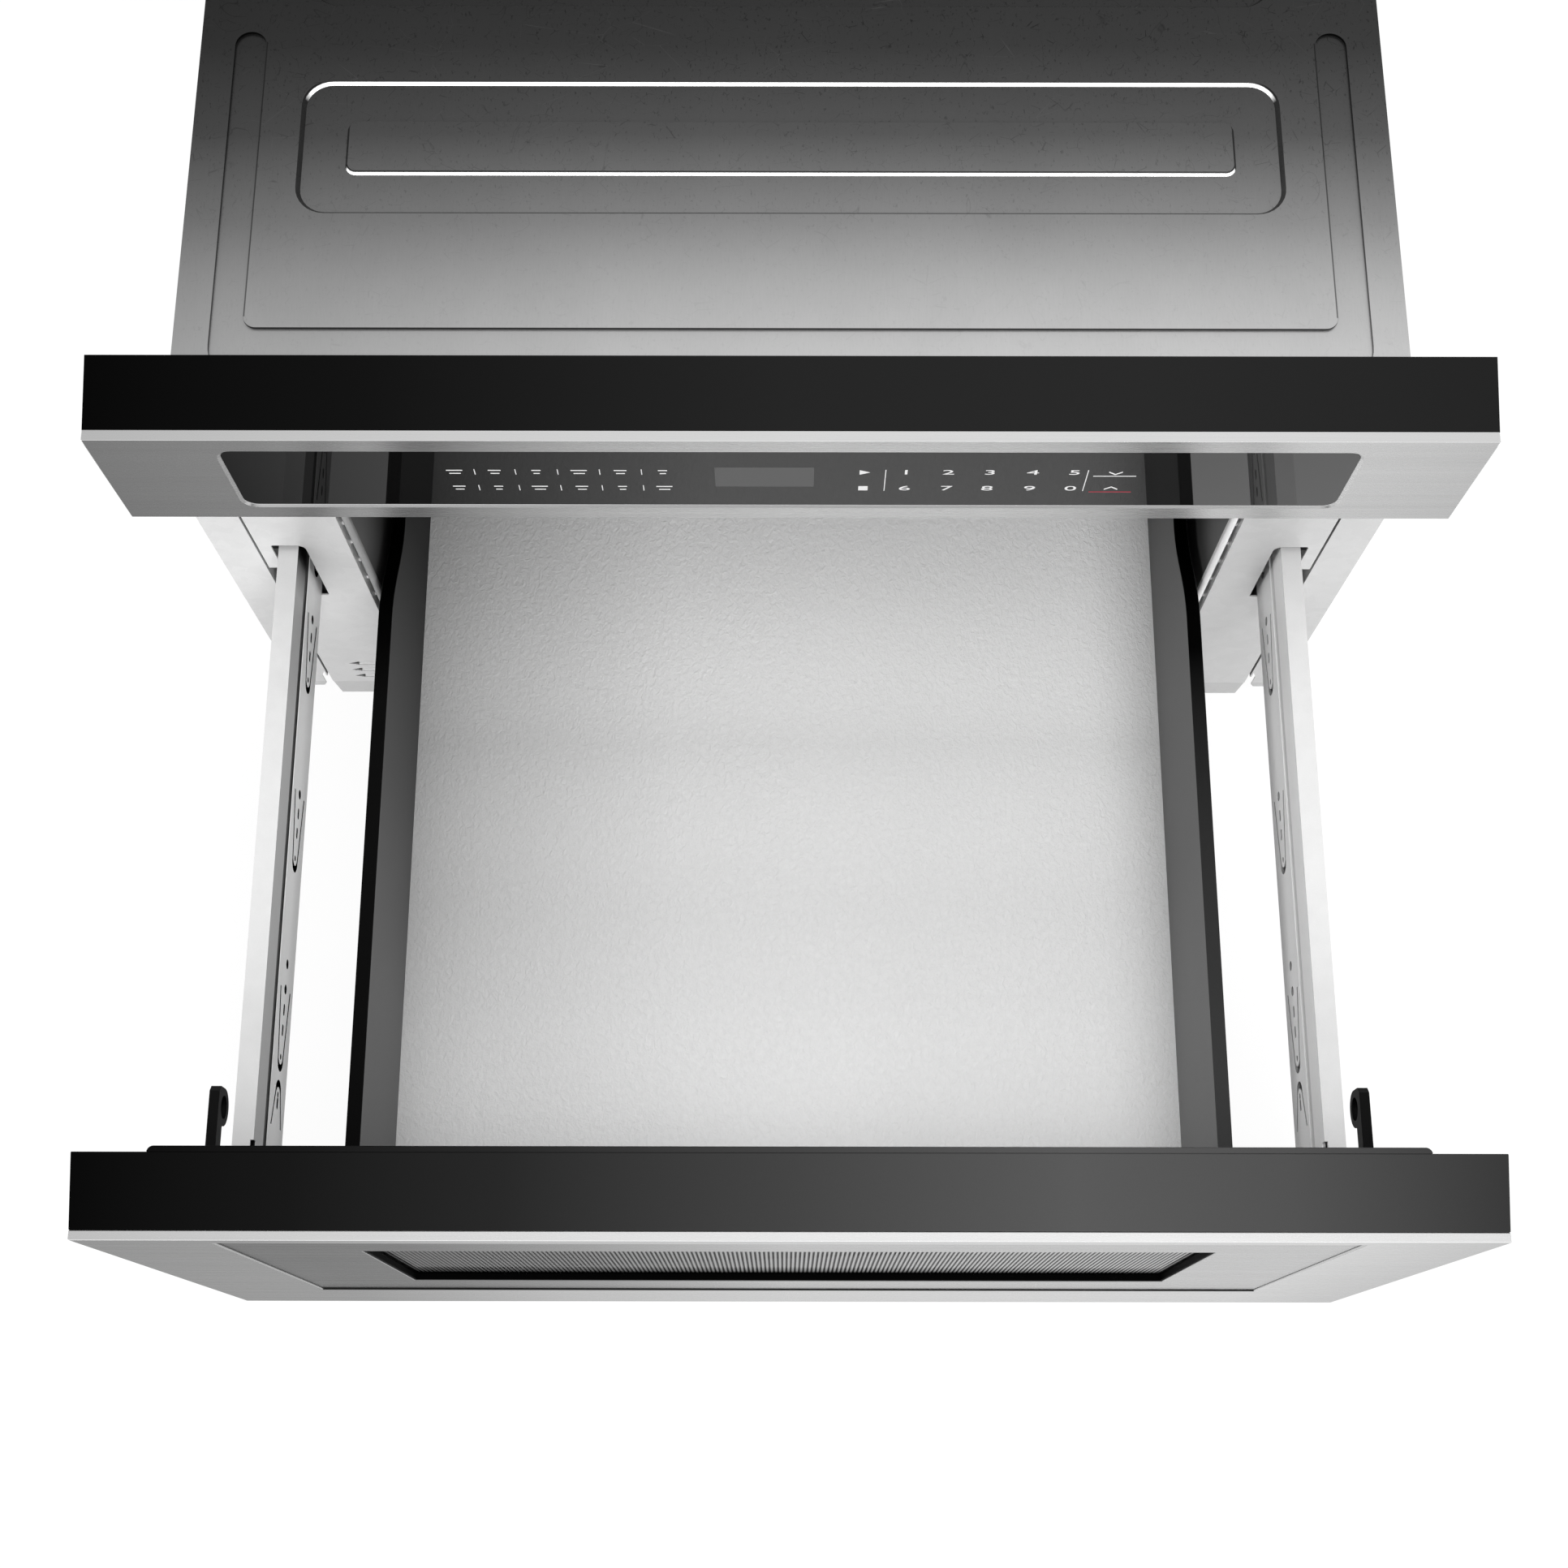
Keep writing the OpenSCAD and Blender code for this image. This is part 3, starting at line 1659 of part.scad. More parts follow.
module rail_outline() {
    groove_z = rail_z + web_h;
    difference() {
        span([rail_x, rail_z], [rail_out_x, rail_top_z]);
        span([rail_x + rail_t, rail_z + rail_t], [rail_out_x - rail_t, groove_z - rail_t]);
        span([rail_x + groove_d + rail_t, groove_z - rail_t - cut],
            [rail_out_x - rail_t, groove_z + groove_h + rail_t + cut]);
        span([rail_x + rail_t, groove_z + groove_h + rail_t], [rail_out_x - rail_t, rail_top_z - rail_t]);
        span([rail_x - cut, groove_z], [rail_x + groove_d, groove_z + groove_h]);
    }
}

module drawer_rail() {
    color("gainsboro")
        difference() {
            along_y(door_back_y, door_back_y + rail_l)
                rail_outline();
            along_x(rail_x - cut, rail_x + rail_t + cut / 2) {
                for (y = lance_places)
                    translate([door_back_y + y, rail_z + lance_rise])
                        lance_cuts(lance_l);
                translate([door_back_y + front_lance_y, rail_z + lance_rise])
                    mirror([1, 0])
                        lance_cuts(front_lance_l);
                translate([door_back_y + plain_hole_y, rail_z + lance_rise])
                    circle(d = lance_hole_w + lance_cut);
            }
            block([rail_x - cut, rail_x + rail_t], [door_back_y + rail_t, door_back_y + notch_l],
                [rail_top_z - notch_h, rail_top_z + cut]);
        }
}

module left_drawer_rail() {
    mirror([1, 0, 0])
        drawer_rail();
}

module right_drawer_rail() {
    drawer_rail();
}

// Sizes of the latch hooks: an arm from the back plate and a head that hangs at its end
hook_reach = 33.6;
hook_arm_h = 8.4;
hook_head_l = 17;
hook_chamfer = 2.5;
hook_head_wall = 3.2;

module latch_hook() {
    tip = door_back_y + hook_reach;
    r = hook_head_l / 2;
    head = [tip - r, hook_z - hook_head_h + r];
    inner = hook_x - hook_w / 2;
    outer = hook_x + hook_w / 2;
    color("#101010")
        difference() {
            union() {
                along_x(inner, outer)
                    polygon([
                        [door_back_y, hook_z],
                        [tip - hook_chamfer, hook_z],
                        [tip, hook_z - hook_chamfer],
                        [tip, hook_z - hook_arm_h],
                        [door_back_y, hook_z - hook_arm_h]
                    ]);
                along_x(inner, outer)
                    translate(head)
                        circle(r);
            }
            along_x(inner - cut, outer + cut)
                translate(head)
                    circle(r - hook_head_wall);
        }
}

module left_latch_hook() {
    mirror([1, 0, 0])
        latch_hook();
}

module right_latch_hook() {
    latch_hook();
}

top_cover();
left_side_panel();
right_side_panel();
rear_panel();
base_plate();
front_plate();
cavity_liner();
choke_frame();
control_frame();
control_face();
control_glass();
display_window();
control_board();
left_fixed_slide();
right_fixed_slide();
left_ball_cage();
right_ball_cage();
left_latch_switch();
right_latch_switch();
magnetron();
waveguide();
inverter_board();
inverter_transformer();
inverter_heat_sink();
stirrer_motor();
stirrer_blade();
stirrer_cover();
fan_housing();
fan_motor();
fan_wheel();
drive_motor();
motor_gear();
cross_shaft();
shaft_gear();
left_pinion();
right_pinion();
shaft_bearings();
filter_board();
cavity_lamp();
thermal_cutouts();
cord_gland();
cabinet_screws();
door_face();
door_panel();
door_frame();
door_back();
window_glass();
window_screen();
inner_window();
basin_floor();
left_basin_wall();
right_basin_wall();
rear_basin_wall();
left_drawer_rail();
right_drawer_rail();
left_rack();
right_rack();
left_latch_hook();
right_latch_hook();
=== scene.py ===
import math

import bmesh
import bpy
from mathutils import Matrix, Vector


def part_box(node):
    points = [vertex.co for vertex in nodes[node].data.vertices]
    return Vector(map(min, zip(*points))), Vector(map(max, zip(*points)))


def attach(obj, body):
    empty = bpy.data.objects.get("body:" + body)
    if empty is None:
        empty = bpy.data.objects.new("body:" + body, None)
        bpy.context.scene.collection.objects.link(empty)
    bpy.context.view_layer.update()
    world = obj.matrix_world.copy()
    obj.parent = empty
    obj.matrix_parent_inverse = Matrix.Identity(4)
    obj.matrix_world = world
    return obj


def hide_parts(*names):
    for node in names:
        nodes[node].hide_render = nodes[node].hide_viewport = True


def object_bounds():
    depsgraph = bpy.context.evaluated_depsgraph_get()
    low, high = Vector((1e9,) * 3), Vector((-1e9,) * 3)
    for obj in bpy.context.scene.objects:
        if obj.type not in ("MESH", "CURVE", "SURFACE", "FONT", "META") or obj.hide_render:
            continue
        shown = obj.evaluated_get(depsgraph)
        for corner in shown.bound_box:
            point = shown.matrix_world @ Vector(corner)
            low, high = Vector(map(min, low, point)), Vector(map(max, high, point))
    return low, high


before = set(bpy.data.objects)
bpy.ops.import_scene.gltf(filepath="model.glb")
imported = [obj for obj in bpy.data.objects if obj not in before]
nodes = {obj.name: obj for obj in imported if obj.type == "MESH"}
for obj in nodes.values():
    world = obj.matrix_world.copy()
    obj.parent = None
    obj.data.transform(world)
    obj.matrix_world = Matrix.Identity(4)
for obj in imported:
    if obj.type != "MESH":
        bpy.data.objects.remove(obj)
cad_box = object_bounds()


# The camera looks down steeply on the open drawer from in front of its door,
# through a normal lens, as the product photographer's did.
def add(name, data):
    """A new object of the scene, made of that data."""
    made = bpy.data.objects.new(name, data)
    bpy.context.scene.collection.objects.link(made)
    return made


eye = (-0.0021, -0.4630, 1.2412)
tilt = math.radians(17.782)
roll = math.radians(0.099)
camera_data = bpy.data.cameras.new("camera")
camera_data.lens = 50
camera_data.sensor_width = 36
camera = add("camera", camera_data)
camera.location = eye
camera.rotation_euler = (tilt, 0, roll)
bpy.context.scene.camera = camera
bpy.context.scene.view_settings.view_transform = "Standard"


# The studio: a pale floor that runs out into a white surround, a wide soft box overhead, one
# in front and a weak one on each side, so that a colour renders about as it is written.
class Shade:
    """A shader socket. A sum or a product of shades adds the Math node that works it out."""

    def __init__(self, tree, socket=None):
        self.tree = tree
        self.socket = socket

    def node(self, kind, settings=None, values=None, out=None):
        """Adds a node: its settings first, then the values or links of its sockets."""
        made = self.tree.nodes.new("ShaderNode" + kind)
        for name, setting in (settings or {}).items():
            if name == "stops":
                while len(made.color_ramp.elements) < len(setting):
                    made.color_ramp.elements.new(1)
                for stop, (share, colour) in zip(made.color_ramp.elements, setting):
                    stop.position = share
                    stop.color = colour
            else:
                setattr(made, name, setting)
        for name, value in (values or {}).items():
            usable = [socket for socket in made.inputs if socket.enabled]
            if isinstance(name, int):
                socket = usable[name]
            else:
                socket = next(socket for socket in usable if socket.name == name)
            if isinstance(value, Shade):
                self.tree.links.new(value.socket, socket)
            else:
                socket.default_value = value
        shown = [socket for socket in made.outputs if socket.enabled and out in (None, socket.name)]
        return Shade(self.tree, shown[0] if shown else None)

    def part(self, name):
        """Another output of the node that this shade comes from."""
        return Shade(self.tree, self.socket.node.outputs[name])

    def channel(self, name):
        """One channel of a colour, as a value."""
        return self.node("SeparateColor", {}, {0: self}, out=name)

    def math(self, operation, other=None, clamp=False):
        """The result of one Math node, held from 0 to 1 where it is clamped."""
        values = {0: self} if other is None else {0: self, 1: other}
        return self.node("Math", {"operation": operation, "use_clamp": clamp}, values)

    def __add__(self, other):
        return self.math("ADD", other)

    def __mul__(self, other):
        return self.math("MULTIPLY", other)

    def __sub__(self, other):
        return self.math("SUBTRACT", other)

    def __rsub__(self, other):
        return self * -1.0 + other

    def __truediv__(self, other):
        return self.math("DIVIDE", other)

    def __pow__(self, other):
        return self.math("POWER", other)

    __radd__ = __add__
    __rmul__ = __mul__


def grey(level):
    """The neutral colour that renders at a screen level from 0 to 255."""
    share = level / 255
    light = share / 12.92 if share <= 0.04045 else ((share + 0.055) / 1.055) ** 2.4
    return (light, light, light, 1)


def begin(tree):
    """The shade that a cleared node tree starts from."""
    tree.nodes.clear()
    return Shade(tree)


def surround_rays(start):
    """1 for the rays that show the surround itself: to the camera, off gloss and through glass."""
    ray = start.node("LightPath", out="Is Camera Ray")
    seen = ray + ray.part("Is Glossy Ray")
    return seen.math("ADD", ray.part("Is Transmission Ray"), clamp=True)


fill_strength = 0.6
studio = bpy.data.worlds.new("studio")
studio.use_nodes = True
bpy.context.scene.world = studio
sky = begin(studio.node_tree)
fill = sky.node("Background", {}, {"Color": grey(255), "Strength": fill_strength})
white = sky.node("Background", {}, {"Color": grey(255), "Strength": 1.0})
air = sky.node("MixShader", {}, {0: surround_rays(sky), 1: fill, 2: white})
sky.node("OutputWorld", {}, {"Surface": air})

floor_reach = 4.0
floor_drop = 0.0002
floor_grey = 225
floor_glow = 0.9
floor_z = cad_box[0][2] - floor_drop
floor_corners = [(x * floor_reach, y * floor_reach, floor_z)
                 for x, y in ((-1, -1), (1, -1), (1, 1), (-1, 1))]
floor_mesh = bpy.data.meshes.new("studio_floor")
floor_mesh.from_pydata(floor_corners, [], [(0, 1, 2, 3)])
studio_floor = add("studio_floor", floor_mesh)
floor_finish = bpy.data.materials.new("pale_floor")
floor_finish.use_nodes = True
lino = begin(floor_finish.node_tree)
unlit = 1 - floor_glow
matt = lino.node("BsdfDiffuse", {}, {"Color": grey(floor_grey)})
shadowed = lino.node("BsdfDiffuse", {}, {"Color": (unlit, unlit, unlit, 1)})
glow = lino.node("Emission", {}, {"Color": grey(255), "Strength": floor_glow})
pale = lino.node("AddShader", {}, {0: shadowed, 1: glow})
sheet = lino.node("MixShader", {}, {0: surround_rays(lino), 1: matt, 2: pale})
lino.node("OutputMaterial", {}, {"Surface": sheet})
floor_mesh.materials.append(floor_finish)


def soft_box(name, size, stand, aim, power):
    """A square area lamp that stands in one place and points at another."""
    lamp = bpy.data.lights.new(name, "AREA")
    lamp.size = size
    lamp.energy = power
    made = add(name, lamp)
    made.location = stand
    made.visible_glossy = False
    made.rotation_euler = (Vector(aim) - Vector(stand)).to_track_quat("-Z", "Y").to_euler()


middle = (0, -0.1, 0.1)
soft_box("overhead_box", size=1.6, stand=(0.3, -0.5, 2.7), aim=middle, power=40)
soft_box("front_box", size=1.2, stand=(0.4, -2.2, 2.0), aim=middle, power=46)
soft_box("right_box", size=0.8, stand=(1.9, -0.3, 0.9), aim=(-0.2, -0.2, 0.15), power=11)
soft_box("left_box", size=0.8, stand=(-1.9, -0.3, 0.9), aim=(0.2, -0.2, 0.15), power=14)


# The body's sheet steel: side panels with their flanges, rear panel, base and front plate.
# It is zinc-plated sheet, blanked and folded, with a faint mottle, spangle and fine grain.
def new_finish(name):
    """A new material and the shade that its nodes start from."""
    material = bpy.data.materials.new(name)
    material.use_nodes = True
    return material, begin(material.node_tree)


def surface(start, **values):
    """Ends a material in one principled surface. Double underscores stand for spaces."""
    named = {name.replace("__", " "): value for name, value in values.items()}
    start.node("OutputMaterial", {}, {"Surface": start.node("BsdfPrincipled", {}, named)})


def place(start, axis):
    """One coordinate of a point on the piece, in metres."""
    return start.node("SeparateXYZ", {}, {0: start.node("TexCoord", out="Object")}, out=axis)


def scaled(start, cells):
    """The point on the piece, with so many cells in a metre along each axis."""
    return start.node("VectorMath", {"operation": "MULTIPLY"},
                      {0: start.node("TexCoord", out="Object"), 1: cells})


def noise(start, cells, detail, roughness=0.55, distortion=0.0):
    """Noise from 0 to 1, with so many cells in a metre along each axis."""
    values = {"Vector": scaled(start, cells), "Scale": 1.0, "Detail": detail,
              "Roughness": roughness, "Distortion": distortion}
    return start.node("TexNoise", {}, values, out="Fac")


def past(value, edge, fade=0.00025):
    """A mask that turns on where a value passes an edge, over a fade."""
    return (value - edge).math("MULTIPLY", 1 / fade, clamp=True)


def short_of(value, edge, fade=0.00025):
    """A mask that turns off where a value comes up to an edge, over a fade."""
    return (edge - value).math("MULTIPLY", 1 / fade, clamp=True)


def facing(start, axis, over, fade):
    """A mask for the faces that turn towards an axis by more than a share of it."""
    turned = start.node("VectorMath", {"operation": "DOT_PRODUCT"},
                        {0: start.node("NewGeometry", out="Normal"), 1: axis}, out="Value")
    return past(turned, over, fade)


def between(start, mask, low, high):
    """A colour that turns from low to high as the mask goes from 0 to 1."""
    return start.node("Mix", {"data_type": "RGBA"}, {"Factor": mask, "A": low, "B": high},
                      out="Result")


def times(start, colour, other):
    """The product of two colours."""
    return start.node("Mix", {"data_type": "RGBA", "blend_type": "MULTIPLY"},
                      {"Factor": 1.0, "A": colour, "B": other}, out="Result")


def tone(start, colour, mask, spread):
    """The colour, made lighter and darker by a mask that goes from 0 to 1."""
    factor = (mask - 0.5) * (2 * spread) + 1
    return times(start, colour, start.node("CombineXYZ", {}, {0: factor, 1: factor, 2: factor}))


def run(start, coordinate, low, high, stops):
    """Greys that follow each other along a coordinate, from low to high."""
    share = (coordinate - low) / (high - low)
    return start.node("ValToRGB", {"stops": [(spot, grey(level)) for spot, level in stops]},
                      {"Fac": share}, out="Color")


def bumps(start, height, distance, strength=1.0):
    """A normal that follows a height from 0 to 1, so many metres high."""
    return start.node("Bump", {}, {"Strength": strength, "Distance": distance, "Height": height},
                      out="Normal")


def final_mesh(made):
    """The mesh that an object comes to, with its modifiers applied."""
    bpy.context.view_layer.update()
    graph = bpy.context.evaluated_depsgraph_get()
    return bpy.data.meshes.new_from_object(made.evaluated_get(graph))


def softened(name, material, body, edge, steps=2, sharpest=38, crease=40):
    """A copy of a CAD node with its sharp edges rounded, as folded and moulded edges are.

    Edges sharper than the sharpest angle are rounded, and shading breaks at the crease angle."""
    welded = 1e-6
    flat = math.radians(0.5)
    mesh = nodes[name].data.copy()
    work = bmesh.new()
    work.from_mesh(mesh)
    bmesh.ops.remove_doubles(work, verts=work.verts, dist=welded)
    bmesh.ops.dissolve_limit(work, angle_limit=flat, verts=work.verts, edges=work.edges)
    work.to_mesh(mesh)
    work.free()
    mesh.materials.clear()
    mesh.materials.append(material)
    piece = add(name + "_piece", mesh)
    rounding = piece.modifiers.new("edges", "BEVEL")
    rounding.width = edge
    rounding.segments = steps
    rounding.limit_method = "ANGLE"
    rounding.angle_limit = math.radians(sharpest)
    piece.modifiers.new("normals", "WEIGHTED_NORMAL").keep_sharp = True
    for face in mesh.polygons:
        face.use_smooth = True
        face.material_index = 0
    mesh.set_sharp_from_angle(angle=math.radians(crease))
    piece.data = final_mesh(piece)
    piece.modifiers.clear()
    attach(piece, body)
    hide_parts(name)


sheet_fold = 0.0003
sheet_reach = 0.3


def sheet_steel():
    material, start = new_finish("zinc_sheet")
    mottle = noise(start, (60, 60, 60), detail=4)
    grain = noise(start, (900, 900, 900), detail=2)
    # Painted light: the sheet turns a little darker towards the right, and its slopes that face up
    # and forward, such as the louvre blades, are painted near white as a painted highlight.
    across = run(start, place(start, "X"), -sheet_reach, sheet_reach,
                 ((0.0, 222), (0.3, 220), (0.7, 208), (1.0, 204)))
    upward = facing(start, (0, 0, 1), over=0.3, fade=0.2)
    highlighted_slopes = upward * facing(start, (0, -1, 0), over=0.3, fade=0.2)
    colour = between(start, highlighted_slopes, across, grey(252))
    on_lip = short_of(place(start, "Z"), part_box("front_plate")[0].z)
    colour = between(start, on_lip * 0.12, colour, grey(40))
    crystals = start.node("TexVoronoi", {"feature": "F1"},
                          {"Vector": scaled(start, (150, 150, 150)), "Scale": 1.0}, out="Color")
    colour = tone(start, colour, crystals.channel("Red"), 0.022)
    colour = tone(start, tone(start, colour, mottle, 0.06), grain, 0.035)
    surface(start, Base__Color=colour, Roughness=mottle * 0.12 + 0.4, Metallic=0.35,
            Normal=bumps(start, grain, 0.00004))
    return material


zinc = sheet_steel()
for panel in ("left_side_panel", "right_side_panel", "rear_panel", "base_plate", "front_plate"):
    softened(panel, zinc, "cabinet", edge=sheet_fold)


# The top cover is plain steel sheet with three pressed panels and a stiffening bead,
# scratched and dusty towards the rear, where a painted reflection turns it dark.
cover_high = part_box("top_cover")[1]
cover_reach = 0.28
dark_depth = 0.4
bead_side = 0.0163
bead_w = 0.0147
bead_front_y = 0.039
bead_back_y = 0.186
bead_shadow_w = 0.0008
panel_front_y = 0.06
wear_front_y = 0.05
panel_side_x = 0.24
unlit_drop = 0.0007
cover_dark = grey(12)
crease_shade = grey(14)


def line_at(distance, thinness):
    """A thin line where a distance is 0."""
    return (1 - distance * thinness).math("MAXIMUM", 0.0)


def cell_edges(start, cells):
    """The distance to the edges of uneven cells, which look like straight scratches."""
    return start.node("TexVoronoi", {"feature": "DISTANCE_TO_EDGE"},
                      {"Vector": scaled(start, cells), "Scale": 1.0}, out="Distance")


def sideways(start, over, fade):
    """A mask for the faces that turn to the left or the right."""
    rightward = facing(start, (1, 0, 0), over, fade)
    return rightward.math("MAXIMUM", facing(start, (-1, 0, 0), over, fade))


def cover_steel():
    material, start = new_finish("scuffed_steel")
    y = place(start, "Y")
    z = place(start, "Z")
    off_centre = place(start, "X").math("ABSOLUTE")
    # Painted reflection: the steel darkens towards the rear and lightens towards the right.
    reflection_to_rear = run(start, y, 0.0, dark_depth, ((0.0, 204), (0.06, 197), (0.14, 172), (0.22, 136),
                                              (0.34, 83), (0.46, 54), (0.6, 41), (1.0, 36)))
    across = run(start, place(start, "X"), -cover_reach, cover_reach,
                 ((0.0, 200), (0.1, 209), (0.35, 237), (0.5, 246), (0.75, 255), (1.0, 250)))
    smudge = noise(start, (14, 9, 9), detail=5, roughness=0.6)
    grain = noise(start, (1400, 160, 900), detail=2)
    colour = tone(start, tone(start, times(start, reflection_to_rear, across), smudge, 0.12), grain, 0.04)

    worn = past(y, wear_front_y, fade=1 / 6).math("MAXIMUM", 0.12)
    specks = past(noise(start, (900, 400, 900), detail=3, roughness=0.6), 0.62, fade=1 / 16)
    scuffs = line_at(cell_edges(start, (95, 150, 95)), 50)
    scuffs = scuffs * past(noise(start, (160, 160, 160), detail=2), 0.53, fade=1 / 9)
    scratches = line_at(cell_edges(start, (38, 60, 38)), 140)
    scratches = scratches * past(noise(start, (45, 45, 45), detail=3), 0.5, fade=1 / 6)
    drift = noise(start, (34, 22, 34), detail=2, roughness=0.5, distortion=1.2)
    hairs = line_at((drift - 0.5).math("ABSOLUTE"), 220)
    hairs = hairs * past(noise(start, (70, 70, 70), detail=2), 0.5, fade=1 / 8)
    colour = between(start, specks * worn * 0.6, colour, cover_dark)
    colour = between(start, scuffs * worn * 0.8, colour, cover_dark)
    colour = between(start, scratches * 0.12, colour, grey(120))
    colour = between(start, hairs * worn * 0.6, colour, cover_dark)

    # Painted shade and highlight on the pressed forms: faces turned away or to the side, and forward
    # faces off the panels, are painted dark as shade; a thin painted shadow runs along the bead's
    # inner edge; the upper forward slopes on the panels are painted white and less metallic as a
    # painted highlight.
    on_panel = past(y, panel_front_y, 0.005) * short_of(off_centre, panel_side_x, 0.005)
    forward = facing(start, (0, -1, 0), over=0.2, fade=0.3)
    aside = sideways(start, over=0.2, fade=0.3)
    away = facing(start, (0, 1, 0), over=0.2, fade=0.3).math("MAXIMUM", aside * 0.9)
    shaded_slopes = away.math("MAXIMUM", forward * (1 - on_panel))
    colour = between(start, shaded_slopes * 0.85, colour, crease_shade)
    bead_inner_x = cover_high.x - bead_side - bead_w
    bead_shadow = past(off_centre, bead_inner_x - bead_shadow_w) * short_of(off_centre, bead_inner_x)
    bead_shadow = bead_shadow * past(y, bead_front_y, 0.0005) * short_of(y, bead_back_y, 0.0005)
    colour = between(start, bead_shadow * 0.75, colour, crease_shade)
    lit_slope = forward * on_panel * short_of(z, cover_high.z - unlit_drop)
    colour = between(start, lit_slope, colour, grey(255))
    surface(start, Base__Color=colour, Roughness=smudge * 0.2 + 0.22,
            Metallic=0.85 - lit_slope * 0.85, Normal=bumps(start, grain, 0.00002))
    return material


softened("top_cover", cover_steel(), "cabinet", edge=sheet_fold)


# The oven cavity: an enamelled liner with a bright rolled lip, the plated choke round its
# mouth, the stirrer's mica cover in the ceiling and the stirrer blade above it.
lip_depth = 0.0036
mouth_depth = 0.12
mouth_reach = 0.23


def enamel():
    material, start = new_finish("dark_enamel")
    y = place(start, "Y")
    # Painted shade darkens the liner deeper into the cavity, and painted light brightens its lip
    # from left to right.
    inside = run(start, y, 0.0, mouth_depth, ((0.0, 92), (0.03, 92), (0.4, 60), (1.0, 36)))
    lip = run(start, place(start, "X"), -mouth_reach, mouth_reach,
              ((0.0, 150), (0.1, 160), (0.5, 230), (1.0, 238)))
    colour = between(start, short_of(y, lip_depth), inside, lip)
    speckle = noise(start, (700, 700, 700), detail=2)
    surface(start, Base__Color=tone(start, colour, speckle, 0.08), Roughness=0.42,
            Normal=bumps(start, speckle, 0.00003))
    return material


def plated(name, level):
    material, start = new_finish(name)
    mottle = noise(start, (160, 160, 160), detail=3)
    surface(start, Base__Color=tone(start, grey(level), mottle, 0.07), Metallic=0.2,
            Roughness=mottle * 0.15 + 0.3, Normal=bumps(start, mottle, 0.00002))
    return material


def mica():
    material, start = new_finish("mica_sheet")
    flakes = noise(start, (120, 120, 120), detail=4)
    surface(start, Base__Color=tone(start, (0.5, 0.43, 0.31, 1), flakes, 0.2), Roughness=0.5,
            Normal=bumps(start, flakes, 0.00005))
    return material


def dress(material, *names):
    """Gives CAD nodes a material."""
    for name in names:
        for part in nodes[name].material_slots:
            part.material = material


plate = plated("plated_steel", 200)
dress(enamel(), "cavity_liner")
# The choke's plating is painted lighter than the plated steel, as painted light in its deep channel.
dress(plated("choke_plating_painted_light", 250), "choke_frame")
dress(plate, "stirrer_blade", "waveguide")
dress(mica(), "stirrer_cover")


# The control panel: a moulded black box behind a brushed stainless face, with a smoked
# glass let into the face and a grey display lens behind the glass.
front_reach = 0.303
window_ring_x = 0.1905
window_ring_z = 0.262
rim_h = 0.004


def black_moulding(name, stops):
    """Black plastic with painted light and shade in its tones from left to right. The ring round the
    door's window is black.
    """
    material, start = new_finish(name)
    x = place(start, "X")
    skin = noise(start, (1500, 1500, 1500), detail=2)
    in_ring = short_of(x.math("ABSOLUTE"), window_ring_x)
    in_ring = in_ring * short_of(place(start, "Z"), window_ring_z)
    colour = between(start, in_ring, run(start, x, -front_reach, front_reach, stops), grey(3))
    surface(start, Base__Color=tone(start, colour, skin, 0.05), Roughness=skin * 0.1 + 0.5,
            Specular__IOR__Level=0.02, Normal=bumps(start, skin, 0.00002))
    return material


def stainless(name, stops, rim_stops, rim_z, ledge, glare, painted_sides=0.0):
    """Brushed steel with a painted reflection in the tones of its front and its top rim, painted
    light and shade in the grey of lower ledges, and a painted highlight along its top arris.

    The glare is how white it turns where it is seen almost edge on. Painted sides is how far its
    faces to the left and right take the rim's painted tones and turn matt."""
    material, start = new_finish(name)
    x = place(start, "X")
    streaks = noise(start, (9, 1300, 1300), detail=3, roughness=0.6)
    broad = noise(start, (2.5, 160, 160), detail=2, roughness=0.5)
    front = run(start, x, -front_reach, front_reach, stops)
    front = tone(start, tone(start, front, streaks, 0.10), broad, 0.05)
    rim = run(start, x, -front_reach, front_reach, rim_stops)
    upward = facing(start, (0, 0, 1), over=0.25, fade=0.1)
    forward = facing(start, (0, -1, 0), over=0.25, fade=0.1)
    aside = sideways(start, over=0.25, fade=0.1)
    low_down = short_of(place(start, "Z"), rim_z - rim_h, 0.0005)
    # Painted light: side faces take the rim's lighter tones, top faces the rim's, lower ledges a
    # painted grey of light and shade, and the top arris a painted white highlight.
    side = between(start, aside * painted_sides, rim, front)
    colour = between(start, aside, front, tone(start, side, streaks, 0.02))
    colour = between(start, upward, colour, tone(start, rim, streaks, 0.04))
    colour = between(start, upward * low_down, colour, grey(ledge))
    colour = between(start, upward * forward * (1 - low_down), colour, grey(255))
    surface(start, Base__Color=colour, Roughness=streaks * 0.14 + 0.2,
            Metallic=0.9 - aside * painted_sides, Specular__Tint=(glare, glare, glare, 1),
            Normal=bumps(start, streaks, 0.00002))
    return material


def smoked_glass():
    material, start = new_finish("smoked_glass")
    dust = noise(start, (2600, 2600, 2600), detail=2)
    gloss = (place(start, "X") + 0.25) * 4 + 0.14
    gloss = gloss.math("MAXIMUM", 0.05).math("MINIMUM", 1.0)
    surface(start, Base__Color=tone(start, grey(12), dust, 0.5), Roughness=0.05,
            Coat__Weight=gloss, Coat__Roughness=0.02, Specular__IOR__Level=0.0)
    return material


def lens():
    material, start = new_finish("display_lens")
    dust = noise(start, (2000, 2000, 2000), detail=2)
    surface(start, Base__Color=tone(start, grey(80), dust, 0.06), Roughness=0.25,
            Specular__IOR__Level=0.2, Normal=bumps(start, dust, 0.00001))
    return material


moulded_edge = 0.0006
control_edge = 0.0009
